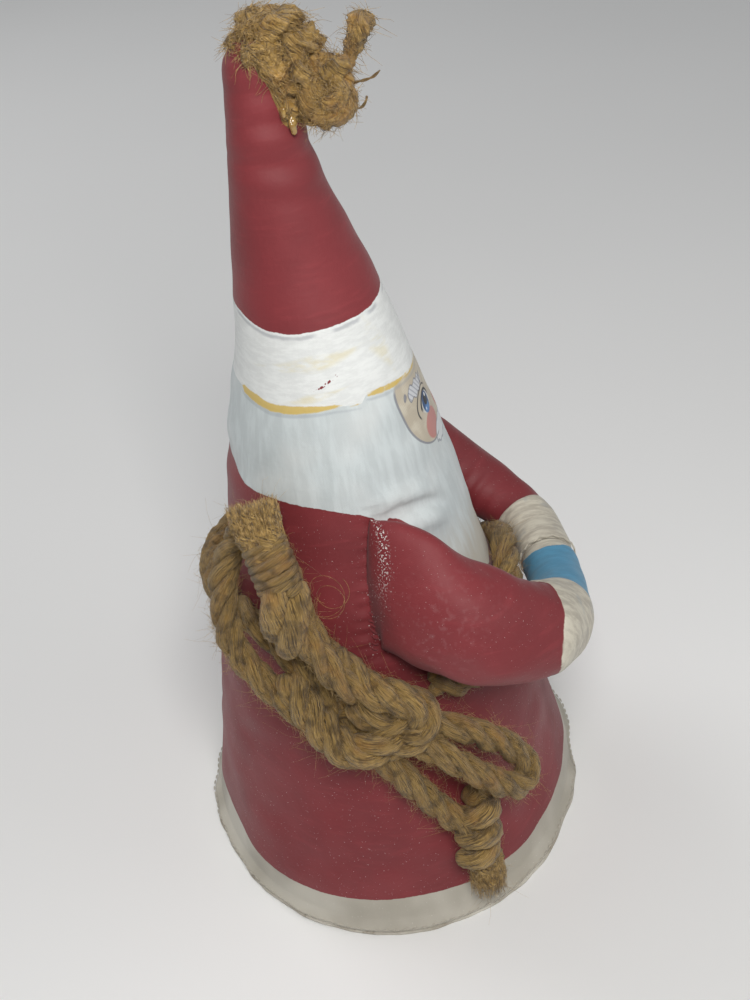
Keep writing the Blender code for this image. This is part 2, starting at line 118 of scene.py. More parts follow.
# Where each loop starts to bend out of the knot, and where it is free of it.
LOOP_ROOTS = {
    "right_loop": ((-0.0500, -0.0090, 0.0560), (-0.0480, -0.0180, 0.0490)),
    "left_loop": ((-0.0465, 0.0060, 0.0640), (-0.0430, 0.0150, 0.0740)),
}
RIGHT_TAIL_ROUTE = [
    (95, 55.5, 6.0), (90, 50.5, 6.5), (85, 43.5, 6.0), (80.5, 37.5, 5.8), (74.5, 30.0, 6.4),
    (72.8, 22.5, 6.2), (72.4, 17.5, 5.8), (72.9, 11.5, 5.2),
]
LEFT_TAIL_ROUTE = [
    (96, 72.5, 9.8), (101, 78, 11.8), (104.8, 83, 11.8), (108.3, 87.6, 11.8),
    (112, 94.5, 12.0), (116, 102.5, 11.2), (121, 108.5, 9.6), (126, 114.5, 8.2),
]

# Painted lines round the right half: angle and height. The left half mirrors them.
COAT_LINE = [
    (0, 69), (15, 71), (30, 76), (46.9, 85), (57, 94), (63, 100.2), (67.8, 102.6), (72.5, 103.6),
    (75.2, 101.9), (77.2, 102.2), (78.4, 104.4), (84, 106.3), (101.5, 109), (121, 110.5),
    (146, 110.8), (162, 112.8), (180, 113.2),
]
BAND_TOP = [(0, 146.8), (42, 146.3), (70, 146.3), (100, 145.9), (126, 146.3), (154, 148.2), (180, 148.5)]
BAND_FOOT = [
    (0, 128.6), (7, 128.8), (35.7, 129.8), (53.3, 130.5), (68.4, 131.4), (72.2, 130.1),
    (86.8, 131.0), (107, 131.0), (124.6, 130.8), (136.6, 131.4), (153, 131.8), (180, 131.2),
]
OCHRE_HALF_WIDTH = [
    (0, 0.20), (35, 0.42), (58, 0.62), (68, 0.42), (70, -0.4), (71.5, -0.4), (73, 0.1),
    (88, 0.42), (107, 0.85), (125, 0.80), (136, 0.95), (150, 0.75), (156, -0.4), (180, -0.4),
]
HEM_LINE = [(0, 11.0), (30, 9.0), (60, 8.2), (90, 9.6), (120, 9.0), (150, 10.6), (180, 9.8)]
SHOULDER_SEAM = [(105.0, 79.0), (97.0, 82.0), (90.0, 85.4), (84.8, 87.6), (74.6, 89.6)]

# Folds of the hat: height, depth, width, middle angle, half spread and tilt.
HAT_FOLDS = [
    (184.6, -0.55, 1.5, 55, 75, 0.6), (181.4, 0.50, 1.7, 70, 85, 0.8),
    (177.9, -0.50, 1.5, 75, 80, -0.6), (174.4, 0.30, 2.0, 60, 80, -0.9),
    (169.8, -0.25, 2.2, 85, 70, 1.2), (190.2, -0.25, 1.3, 100, 60, 0.4),
]


# ---- places and paths ---------------------------------------------------
def unit(vectors):
    """Vectors over their lengths."""
    return vectors / np.maximum(np.linalg.norm(vectors, axis=-1, keepdims=True), TINY)


def half_depth(height):
    """The body's half-depth: cubic Hermite pieces through OUTLINE, straight at the very tip."""
    z, r = (np.array(OUTLINE) * HEIGHT).T
    slope = np.gradient(r, z)
    height = np.clip(height, 0.0, HEIGHT)
    i = np.clip(np.searchsorted(z, height, side="right") - 1, 0, len(z) - 2)
    span = z[i + 1] - z[i]
    t = (height - z[i]) / span
    start = (1 + 2 * t) * (1 - t) ** 2 * r[i] + t * (1 - t) ** 2 * span * slope[i]
    end = t * t * (3 - 2 * t) * r[i + 1] - t * t * (1 - t) * span * slope[i + 1]
    return np.where(i >= len(z) - 3, r[i] + (r[i + 1] - r[i]) * t, start + end)


def oval(height):
    """Width over depth: 1 at the tip, growing evenly to the base's own share."""
    return 1 + (BASE_WIDTH / BASE_DEPTH - 1) * (1 - height / HEIGHT)


def lean(height):
    """How far back the body's middle stands: a smooth step from 0.68 to 0.88 of the height."""
    share = np.clip((height / HEIGHT - 0.68) / 0.20, 0, 1)
    return HAT_LEAN * share * share * (3 - 2 * share)


def round_body(turn, height, out):
    """Points on an oval round the body: 1 / hypot(sin / a, cos / b), a and b grown by out."""
    b = half_depth(height) + out
    a = half_depth(height) * oval(height) + out
    reach = 1 / np.hypot(np.sin(turn) / a, np.cos(turn) / b)
    height = np.broadcast_to(height, reach.shape)
    return np.stack([-reach * np.sin(turn), lean(height) - reach * np.cos(turn), height], axis=-1)


def on_cloth(places):
    """Points off the cloth from rows of angle, height and standoff, square to the cloth's slope."""
    angle, height, standoff = np.moveaxis(np.asarray(places, float), -1, 0)
    height = height * MM
    fall = (half_depth(height + 4 * MM) - half_depth(height - 4 * MM)) / (8 * MM)
    return round_body(np.radians(angle), height, standoff * MM * np.hypot(fall, 1))


def smooth_path(places, spacing):
    """Evenly spaced points on a Catmull-Rom curve through the places."""
    route = np.asarray(places, float)
    route = np.vstack([2 * route[0] - route[1], route, 2 * route[-1] - route[-2]])
    t = np.linspace(0, 1, 24, endpoint=False)[None, :, None]
    p0, p1, p2, p3 = (route[k:len(route) - 3 + k, None] for k in range(4))
    fine = 0.5 * (2 * p1 + (p2 - p0) * t + (2 * p0 - 5 * p1 + 4 * p2 - p3) * t * t
                  + (3 * p1 - p0 - 3 * p2 + p3) * t ** 3)
    fine = np.vstack([fine.reshape(-1, route.shape[1]), route[-2]])
    run = run_of(fine)
    marks = np.linspace(0, run[-1], max(3, int(round(run[-1] / spacing)) + 1))
    return np.stack([np.interp(marks, run, column) for column in fine.T], axis=-1)


def run_of(path):
    """Distance along a path, or along each of several."""
    steps = np.linalg.norm(np.diff(path, axis=-2), axis=-1)
    return np.concatenate([np.zeros(steps.shape[:-1] + (1,)), steps.cumsum(-1)], axis=-1)


def rope_path(route, spacing=0.0005):
    """A rope's middle line: its route is smoothed round the body, then evenly spaced."""
    return smooth_path(on_cloth(smooth_path(route, 2.5)), spacing)


def outward(path):
    """The direction straight out from the body's middle line."""
    away = np.array(path)
    away[..., 1] -= HAT_LEAN / 2
    away[..., 2] = 0
    return unit(away)


def frames(path, reference):
    """Unit tangent, the part of the reference square to it, and their cross product."""
    along = unit(np.gradient(path, axis=-2))
    normal = unit(reference - along * (reference * along).sum(-1, keepdims=True))
    return along, normal, np.cross(along, normal)


def ripple(points, size, seed, waves=12):
    """Smooth lumps about `size` across: cosines along random directions, added up."""
    rng = np.random.default_rng(seed)
    heading = unit(rng.normal(size=(waves, 3))) * (math.tau / (size * rng.uniform(0.7, 1.6, (waves, 1))))
    return np.cos(points @ heading.T + rng.uniform(0, math.tau, waves)).sum(-1) * math.sqrt(2 / waves)


def table_line(table, angle):
    """A painted line's value at an angle, the same on both halves."""
    known, value = np.array(table, float).T
    return np.interp(np.abs(angle), known, value)


# ---- meshes ---------------------------------------------------------------
class Shape:
    """Closed grids gathered into one mesh. A grid is (pieces, rows, columns, 3): its rows follow
    each other along the piece, its columns go round it, and a fan closes each end."""

    def __init__(self):
        self.points, self.quads, self.fans, self.uv_quads, self.uv_fans = [], [], [], [], []
        self.count = 0

    def add(self, grid, flip=False):
        pieces, rows, cols = grid.shape[:3]
        block = rows * cols + 2
        ends = grid[:, [0, -1]].mean(axis=2)
        self.points.append(np.concatenate([grid.reshape(pieces, -1, 3), ends], axis=1).reshape(-1, 3))
        first = self.count + block * np.arange(pieces)[:, None, None]
        row, col = np.arange(rows - 1)[None, :, None], np.arange(cols)[None, None, :]
        after = (col + 1) % cols
        corners = [row * cols + col, row * cols + after, (row + 1) * cols + after, (row + 1) * cols + col]
        quads = np.stack([first + c for c in corners], axis=-1)
        ring, ring_after = np.arange(cols)[None], ((np.arange(cols) + 1) % cols)[None]
        top = (rows - 1) * cols
        low = np.stack(np.broadcast_arrays(first[:, 0] + block - 2, first[:, 0] + ring_after,
                                           first[:, 0] + ring), axis=-1)
        high = np.stack(np.broadcast_arrays(first[:, 0] + block - 1, first[:, 0] + top + ring,
                                            first[:, 0] + top + ring_after), axis=-1)
        fans = np.concatenate([low, high], axis=1)
        along = run_of(grid.mean(axis=2))
        u = np.stack([col, col + 1, col + 1, col], axis=-1) / cols + 0 * first[..., None]
        u = np.broadcast_to(u, quads.shape)
        v = np.stack([along[:, :-1], along[:, :-1], along[:, 1:], along[:, 1:]], axis=-1)[:, :, None, :]
        uv = np.stack([u, np.broadcast_to(v, quads.shape)], axis=-1)
        side = np.stack([ring + 0.5, ring + 1, ring], axis=-1) / cols + 0 * first[:, 0, :, None]
        fan_u = np.concatenate([side, side[..., [0, 2, 1]]], axis=1)
        fan_v = np.concatenate([np.zeros_like(side), side * 0 + along[:, -1, None, None]], axis=1)
        uv_fans = np.stack([fan_u, fan_v], axis=-1)
        if flip:
            quads, uv = quads[..., ::-1], uv[..., ::-1, :]
            fans, uv_fans = fans[..., ::-1], uv_fans[..., ::-1, :]
        self.quads.append(quads.reshape(-1, 4))
        self.fans.append(fans.reshape(-1, 3))
        self.uv_quads.append(uv.reshape(-1, 2))
        self.uv_fans.append(uv_fans.reshape(-1, 2))
        self.count += pieces * block
        return self

    def build(self, name, finish):
        points = np.concatenate(self.points)
        quads, fans = np.concatenate(self.quads), np.concatenate(self.fans)
        mesh = bpy.data.meshes.new(name)
        mesh.vertices.add(len(points))
        mesh.vertices.foreach_set("co", points.astype(np.float32).ravel())
        mesh.loops.add(quads.size + fans.size)
        mesh.loops.foreach_set("vertex_index", np.concatenate([quads.ravel(), fans.ravel()]).astype(np.int32))
        mesh.polygons.add(len(quads) + len(fans))
        starts = np.concatenate([4 * np.arange(len(quads)), quads.size + 3 * np.arange(len(fans))])
        mesh.polygons.foreach_set("loop_start", starts.astype(np.int32))
        mesh.update(calc_edges=True)
        layer = mesh.uv_layers.new(name="lay")
        layer.data.foreach_set("uv", np.concatenate(self.uv_quads + self.uv_fans).astype(np.float32).ravel())
        mesh.shade_smooth()
        if mesh.validate():
            raise RuntimeError(f"{name} has faulty faces")
        mesh.materials.append(finish)
        piece = bpy.data.objects.new(name, mesh)
        bpy.context.scene.collection.objects.link(piece)
        return piece, points


def mark(piece, name, values):
    """Store one number per vertex for the material to read."""
    layer = piece.data.attributes.new(name, "FLOAT", "POINT")
    layer.data.foreach_set("value", np.asarray(values, np.float32).ravel())


def sweep(middle, radius, sides, reference, tall=1.0):
    """Round tubes: middle + radius (cos a normal + tall sin a side), a going once round."""
    _, normal, side = frames(middle, reference)
    turn = math.tau * np.arange(sides)[:, None] / sides
    ring = np.cos(turn) * normal[..., None, :] + tall * np.sin(turn) * side[..., None, :]
    return middle[..., None, :] + np.broadcast_to(radius, middle.shape[:-1])[..., None, None] * ring


def round_ends(path, radius):
    """A tube's radius along a path: even, with each end rounded over like a ball."""
    run = run_of(path)
    near = np.minimum(run, run[..., -1:] - run) / radius
    return radius * np.sqrt(np.clip(1 - (1 - np.clip(near, 0, 1)) ** 2, 0.02, 1))


def strands(shape, path, reference, diameter, lay, sides=16, phase=0.0, count=3, plump=1.13, seed=1):
    """Twist strands into a rope: path + r (cos a normal + sin a side), a = 2 pi (s / lay + k / count)."""
    _, normal, side = frames(path, reference)
    thin = diameter / 2 / (1 + 1 / math.sin(math.pi / count))
    turn = math.tau * (run_of(path) / lay + np.arange(count)[:, None] / count) + phase
    away = np.cos(turn)[..., None] * normal + np.sin(turn)[..., None] * side
    middle = path + (diameter / 2 - thin) * away
    radius = round_ends(middle, thin * plump) * (1 + 0.05 * ripple(middle, 0.006, seed))
    grid = sweep(middle, radius, sides, away)
    core = grid.mean(axis=2, keepdims=True)
    grid = core + (grid - core) * (1 + 0.045 * ripple(grid, 0.0014, seed + 1)[..., None])
    return shape.add(grid)


def lump(shape, middle, radii, axes, size, seed, rough=0.10, rows=28, cols=40):
    """A matted ball: an ellipsoid whose radius is scaled by 1 + rough times smooth lumps."""
    up = np.linspace(-math.pi / 2, math.pi / 2, rows + 2)[1:-1, None]
    turn = math.tau * np.arange(cols)[None] / cols
    ball = np.stack(np.broadcast_arrays(np.cos(up) * np.cos(turn), np.cos(up) * np.sin(turn), np.sin(up)), -1)
    local = ball * np.asarray(radii)
    place = local @ np.asarray(axes).T
    scale = 1 + rough * ripple(place, size, seed) + rough / 3 * ripple(place, size / 3, seed + 1)
    return shape.add((place * scale[..., None] + np.asarray(middle))[None])


def cloth_axes(angle, height):
    """Sideways, down and outwards on the cloth, as the columns of a matrix."""
    spot = on_cloth([[angle, height, 0], [angle, height, 5], [angle, height - 4, 0], [angle, height + 4, 0]])
    out, down = unit(spot[1] - spot[0]), unit(spot[2] - spot[3])
    down = unit(down - out * (down @ out))
    return np.stack([np.cross(down, out), down, out], axis=1)


def wound(shape, path, radius, wire, turns, reference, seed, start=0.0, sides=12, squeeze=1.0):
    """Windings of one strand round a path: path + R (cos a normal + sin a side), a = 2 pi turns t."""
    t = np.linspace(0, 1, int(28 * turns))
    run = run_of(path)
    middle = np.stack([np.interp(t * run[-1], run, column) for column in path.T], axis=-1)
    toward = np.stack([np.interp(t * run[-1], run, column) for column in reference.T], axis=-1)
    _, normal, side = frames(middle, toward)
    turn = (math.tau * turns * t + start)[:, None]
    away = np.cos(turn) * normal * squeeze + np.sin(turn) * side
    line = (middle + radius * away)[None]
    thick = round_ends(line, wire / 2) * (1 + 0.07 * ripple(line, 0.004, seed))
    grid = sweep(line, thick, sides, unit(away)[None])
    core = grid.mean(axis=2, keepdims=True)
    return shape.add(core + (grid - core) * (1 + 0.05 * ripple(grid, 0.0012, seed + 1)[..., None]))


def laid_strand(shape, places, diameter, seed, lay=0.017, count=3, plump=1.2):
    """A short length of rope through places on the cloth, its twist loosened."""
    path = rope_path(places, 0.0004)
    return strands(shape, path, outward(path), diameter, lay, sides=14, phase=seed, count=count,
                   plump=plump, seed=seed)


def hairs(shape, root, heading, lift, length, thick, rng, curl=0.25, steps=6):
    """Thin three-sided fibres: root + L (t heading + t^2 lift) + curl, tapering to a point."""
    t = np.linspace(0, 1, steps)[None, :, None]
    size = length[:, None, None]
    sway = unit(rng.normal(size=root.shape))[:, None] * np.sin(t * rng.uniform(2, 6, (len(root), 1, 1)))
    line = root[:, None] + size * (t * heading[:, None] + t * t * lift[:, None] + curl * sway * t)
    radius = thick / 2 * np.linspace(1, 0.35, steps)[None]
    reference = np.broadcast_to(unit(rng.normal(size=root.shape))[:, None], line.shape)
    return shape.add(sweep(line, np.broadcast_to(radius, line.shape[:-1]), 3, reference))


def rope_fuzz(shape, path, diameter, per_mm, seed, length=(0.002, 0.007), lift=0.5, thick=0.00009):
    """Stray fibres rooted all round a rope, lying mostly along its twist."""
    rng = np.random.default_rng(seed)
    run = run_of(path)
    count = int(run[-1] / MM * per_mm)
    at = rng.uniform(0, run[-1], count)
    along, normal, side = frames(path, outward(path))
    pick = np.clip(np.searchsorted(run, at), 0, len(path) - 1)
    turn = rng.uniform(0, math.tau, count)[:, None]
    away = np.cos(turn) * normal[pick] + np.sin(turn) * side[pick]
    across = np.cross(along[pick], away)
    sense = rng.choice([-1.0, 1.0], (count, 1))
    root = path[pick] + away * diameter * rng.uniform(0.36, 0.50, (count, 1))
    heading = unit(along[pick] * sense + across * rng.uniform(0.2, 1.0, (count, 1)) * sense
                   + away * rng.uniform(0.05, 0.5, (count, 1)))
    rise = (away * rng.uniform(-0.3, 1, (count, 1)) + rng.normal(size=(count, 3)) * 0.4) * lift
    size = rng.uniform(*length, count) * rng.uniform(0.4, 1, count)
    return hairs(shape, root, heading, rise, size, thick, rng)


def brush(shape, path, start, end, count, seed, over=0.0012, thick=0.00013):
    """Combed-out fibres: from a disc of radius `start` to one of radius `end` along the path."""
    rng = np.random.default_rng(seed)
    _, normal, side = frames(path, outward(path))
    t = np.linspace(0, 1, 8)
    run = run_of(path)
    turn = rng.uniform(0, math.tau, (count, 1, 1))
    disc = np.sqrt(rng.uniform(0.35, 1, (count, 1, 1)))
    spread = disc * (start + (end - start) * t[None, :, None] ** 0.8)
    reach = rng.uniform(0.72, 1.0, (count, 1)) * (run[-1] + over * rng.uniform(0, 1, (count, 1)))
    at = t[None] * reach
    middle = np.stack([np.interp(at, run, column) for column in path.T], axis=-1)
    past = np.maximum(at - run[-1], 0)[..., None] * unit(path[-1] - path[-6])
    n = np.stack([np.interp(at, run, column) for column in normal.T], axis=-1)
    s = np.stack([np.interp(at, run, column) for column in side.T], axis=-1)
    twist = turn + rng.uniform(-0.5, 0.5, (count, 1, 1)) * t[None, :, None]
    line = middle + past + spread * (np.cos(twist) * n + np.sin(twist) * s)
    line += 0.00035 * rng.normal(size=line.shape) * t[None, :, None]
    reference = np.broadcast_to(unit(rng.normal(size=(count, 1, 3))), line.shape)
    radius = np.broadcast_to(thick / 2 * np.linspace(1, 0.6, 8), line.shape[:-1])
    return shape.add(sweep(line, radius, 3, reference))


def place(piece, body, slot, *nodes):
    """Attach a piece to the body it moves with, and hide the model's parts that it stands for. The slot is
    not used. A loop's pieces are not attached; their place is baked into their mesh."""
    if body in LOOP_ROOTS:
        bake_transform(piece)
    else:
        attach(piece, body)
    if nodes:
        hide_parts(*nodes)
    return piece


# ---- shader maths -----------------------------------------------------------
class Signal:
    """One number running through a material, for ordinary arithmetic."""

    def __init__(self, finish, socket):
        self.finish, self.socket = finish, socket

    def math(self, operation, *others):
        return self.finish.math(operation, self, *others)

    def __add__(self, other):
        return self.math("ADD", other)

    def __sub__(self, other):
        return self.math("SUBTRACT", other)

    def __rsub__(self, other):
        return self.finish.math("SUBTRACT", other, self)

    def __mul__(self, other):
        return self.math("MULTIPLY", other)

    def __truediv__(self, other):
        return self.math("DIVIDE", other)

    def __pow__(self, other):
        return self.math("POWER", other)

    def __abs__(self):
        return self.math("ABSOLUTE")

    __radd__ = __add__
    __rmul__ = __mul__

    def most(self, other):
        return self.math("MAXIMUM", other)


class Finish:
    """A material under construction."""

    def __init__(self, name, roughness=0.6, **constants):
        self.material = bpy.data.materials.new(name)
        self.material.use_nodes = True
        self.tree = self.material.node_tree
        self.shader = self.tree.nodes["Principled BSDF"]
        self.shader.inputs["Roughness"].default_value = roughness
        for socket, value in constants.items():
            self.shader.inputs[socket.replace("_", " ")].default_value = value

    def node(self, kind, settings, sockets):
        """A node with its settings made first, then its sockets' values or links."""
        made = self.tree.nodes.new(kind)
        for key, value in settings.items():
            if key == "stops":
                self.stops(made.color_ramp, value)
            else:
                setattr(made, key, value)
        for key, value in sockets.items():
            self.feed(made.inputs[key], value)
        return made

    def stops(self, ramp, stops):
        while len(ramp.elements) < len(stops):
            ramp.elements.new(0.5)
        for element, (position, colour) in zip(ramp.elements, stops):
            element.position = position
            element.color = (*colour, 1.0)

    def feed(self, socket, value):
        if isinstance(value, Signal):
            value = value.socket
        if isinstance(value, bpy.types.NodeSocket):
            self.tree.links.new(value, socket)
        elif hasattr(value, "__len__") and len(value) == 3 and len(socket.default_value) == 4:
            socket.default_value = (*value, 1.0)
        else:
            socket.default_value = value

    def math(self, operation, *values):
        made = self.node("ShaderNodeMath", {"operation": operation}, dict(enumerate(values)))
        return Signal(self, made.outputs[0])

    def attribute(self, name):
        return Signal(self, self.node("ShaderNodeAttribute", {"attribute_name": name}, {}).outputs["Fac"])

    def object_place(self):
        return self.node("ShaderNodeTexCoord", {}, {}).outputs["Object"]

    def lay_place(self):
        return self.node("ShaderNodeUVMap", {"uv_map": "lay"}, {}).outputs["UV"]

    def parts(self, vector):
        made = self.node("ShaderNodeSeparateXYZ", {}, {"Vector": vector})
        return [Signal(self, output) for output in made.outputs]

    def vector(self, x, y, z):
        return self.node("ShaderNodeCombineXYZ", {}, {"X": x, "Y": y, "Z": z}).outputs[0]

    def scaled(self, vector, scale):
        made = self.node("ShaderNodeVectorMath", {"operation": "MULTIPLY"}, {0: vector, 1: scale})
        return made.outputs[0]

    def noise(self, vector, scale, detail=2.0, roughness=0.5, distortion=0.0):
        made = self.node("ShaderNodeTexNoise", {}, {
            "Vector": vector, "Scale": scale, "Detail": detail, "Roughness": roughness,
            "Distortion": distortion})
        return Signal(self, made.outputs["Fac"])

    def cells(self, vector, scale):
        made = self.node("ShaderNodeTexVoronoi", {"feature": "F1"}, {"Vector": vector, "Scale": scale})
        return Signal(self, made.outputs["Distance"])

    def step(self, value, low, high):
        """0 below low and 1 above high, smooth between."""
        made = self.node("ShaderNodeMapRange", {"interpolation_type": "SMOOTHSTEP"}, {
            "Value": value, "From Min": low, "From Max": high, "To Min": 0.0, "To Max": 1.0})
        return Signal(self, made.outputs["Result"])

    def mix(self, factor, first, second, blend="MIX"):
        made = self.node("ShaderNodeMix", {"data_type": "RGBA", "blend_type": blend},
                         {"Factor": factor, 6: first, 7: second})
        return made.outputs[2]

    def bump(self, height, distance=MM, strength=1.0):
        """Relief whose height signal is in millimetres."""
        made = self.node("ShaderNodeBump", {}, {
            "Height": height, "Distance": distance, "Strength": strength})
        self.feed(self.shader.inputs["Normal"], made.outputs["Normal"])

    def done(self, colour, roughness=None):
        self.feed(self.shader.inputs["Base Color"], colour)
        if roughness is not None:
            self.feed(self.shader.inputs["Roughness"], roughness)
        return self.material


# ---- paints on the cloth ------------------------------------------------------
# Linear colours that no setting changes, each in the order it is used.
BEARD_CLOUD = (0.74, 0.76, 0.75)
BEARD_TIP = (0.56, 0.49, 0.38)
BAND_STAIN = (0.66, 0.56, 0.24)
BAND_RIM = (0.27, 0.28, 0.32)
BAND_SHADE = (0.25, 0.28, 0.33)
HEM_DULL = (0.40, 0.37, 0.31)
HEM_CLEAN = (0.56, 0.53, 0.46)
BARE_CLOTH = (0.80, 0.78, 0.75)
GRIME = (0.10, 0.08, 0.06)
SKIN_DULL = (0.52, 0.46, 0.36)
SKIN_THREAD = (0.36, 0.31, 0.25)
BROW = (0.60, 0.61, 0.64)
BROW_HAIR = (0.24, 0.26, 0.31)
BROW_LINE = (0.13, 0.14, 0.18)
EYE_WHITE = (0.62, 0.62, 0.58)
IRIS = (0.022, 0.075, 0.20)
IRIS_GLOW = (0.09, 0.25, 0.55)
PUPIL = (0.005, 0.007, 0.011)
EYE_SPARK = (0.80, 0.82, 0.84)
EYE_DOT = (0.70, 0.77, 0.85)
LID_LINE = (0.012, 0.014, 0.020)
LASH = (0.02, 0.022, 0.030)
MOUSTACHE = (0.66, 0.69, 0.70)
MOUSTACHE_LINE = (0.22, 0.24, 0.29)
FACE_RIM = (0.19, 0.20, 0.24)
CUFF_DULL = (0.44, 0.40, 0.33)
CUFF_STAIN = (0.25, 0.28, 0.31)
WORN_SLEEVE = (0.78, 0.70, 0.68)
PINK_HAZE = (0.60, 0.45, 0.45)
BASE_DULL = (0.36, 0.32, 0.26)
BASE_CLEAN = (0.62, 0.59, 0.52)
BASE_DIRT = (0.20, 0.16, 0.11)


def cloth_relief(finish, place, thread=0.40, radius=22.0):
    """Plain weave in millimetres: two families of threads, crossing over and under."""
    x, y, z = finish.parts(place)
    around = finish.math("ARCTAN2", x, y) * radius * (math.tau / thread)
    rise = z * (1000 * math.tau / thread)
    return finish.math("SINE", around) * finish.math("SINE", rise)


def red_paint(finish, place, colour):
    """Brick red coat paint: broad patches, and fine strokes where the brush ran round the body.
    The strokes come back too, for the relief."""
    patches = finish.noise(place, 38.0, 3.0, 0.55)
    strokes = finish.noise(finish.scaled(place, (120.0, 120.0, 700.0)), 1.0, 3.0, 0.6)
    dark = tuple(c * 0.80 for c in colour)
    light = tuple(min(1.0, c * 1.16 + 0.004) for c in colour)
    mixed = finish.mix(finish.step(patches, 0.35, 0.68), dark, colour)
    mixed = finish.mix(finish.step(strokes, 0.50, 0.80) * 0.55, mixed, light)
    return mixed, strokes


def flecks(finish, place, size, amount):
    """Chips out of the paint: the middles of small cells, kept only where a second noise is high."""
    warped = finish.noise(place, size * 0.9, 2.0)
    cell = finish.cells(place, size)
    keep = finish.step(warped, 0.62 - amount, 0.66 - amount)
    return (1.0 - finish.step(cell, 0.16, 0.26)) * keep


def worn_seam(finish, place, seam, height):
    """Paint rubbed off in crumbs beside the upper end of a shoulder seam."""
    crumbs = finish.step(finish.noise(place, 2300.0, 1.0), 0.575, 0.61) * (1.0 - finish.step(seam, 0.2, 1.0))
    return crumbs * finish.step(height, 0.086, 0.104)


def beard_paint(f, height, long_strokes, clouds, paint):
    """Long downward strokes, cloudy, yellowed towards the beard's tip."""
    beard = f.mix(f.step(long_strokes, 0.38, 0.66), tuple(c * 0.88 for c in paint.beard), tuple(paint.beard))
    beard = f.mix(f.step(clouds, 0.45, 0.72) * 0.45, beard, BEARD_CLOUD)
    tip = 1.0 - f.step(height + (long_strokes - 0.5) * 0.012, 0.078, 0.096)
    return f.mix(tip * 0.75, beard, BEARD_TIP)


def band_paint(f, place, side, rise, rim_edge, paint):
    """The hat's white band: strokes round it, three ochre smears, a red graze on the doll's right
    and a grey line under its upper edge. `side` and `rise` are millimetres round and up."""
    sweep_strokes = f.noise(f.scaled(place, (260.0, 260.0, 900.0)), 1.0, 3.0, 0.65)
    band = f.mix(f.step(sweep_strokes, 0.36, 0.64), tuple(c * 0.90 for c in paint.band), tuple(paint.band))
    smear = f.noise(f.scaled(place, (140.0, 140.0, 500.0)), 1.0, 3.0, 0.65)
    upper = 1.0 - f.step(abs(rise + side * 0.10 - 142.6) / 1.7 + abs(side - 28.0) / 13.0, 0.5, 1.25)
    lower = 1.0 - f.step(abs(rise + side * 0.16 - 138.2) / 1.0 + abs(side - 32.0) / 8.0, 0.4, 1.2)
    front = 1.0 - f.step(abs(side - 14.5) / 2.6 + abs(rise - 139.0) / 7.5, 0.4, 1.2)
    stain = upper.most(lower).most(front * 0.8) * f.step(smear, 0.36, 0.62)
    band = f.mix(stain * 0.42, band, BAND_STAIN)
    graze = abs(rise - 134.4 - (30.6 - side) * 0.47) * (1.0 / 0.26)
    graze = (1.0 - f.step(graze, 0.6, 1.2)) * f.step(side, 24.8, 25.2) * (1.0 - f.step(side, 30.4, 31.0))
    graze = graze * (1.0 - f.step(f.parts(place)[0], -0.004, -0.002))
    band = f.mix(f.step(f.noise(place, 1500.0, 1.0), 0.50, 0.54) * graze, band, tuple(paint.coat))
    rim = f.step(rim_edge, -1.5, -0.9) * (1.0 - f.step(rim_edge, -0.7, -0.3))
    broken = f.step(f.noise(place, 160.0, 1.0), 0.42, 0.58)
    return f.mix(rim * broken * 0.5, band, BAND_RIM)


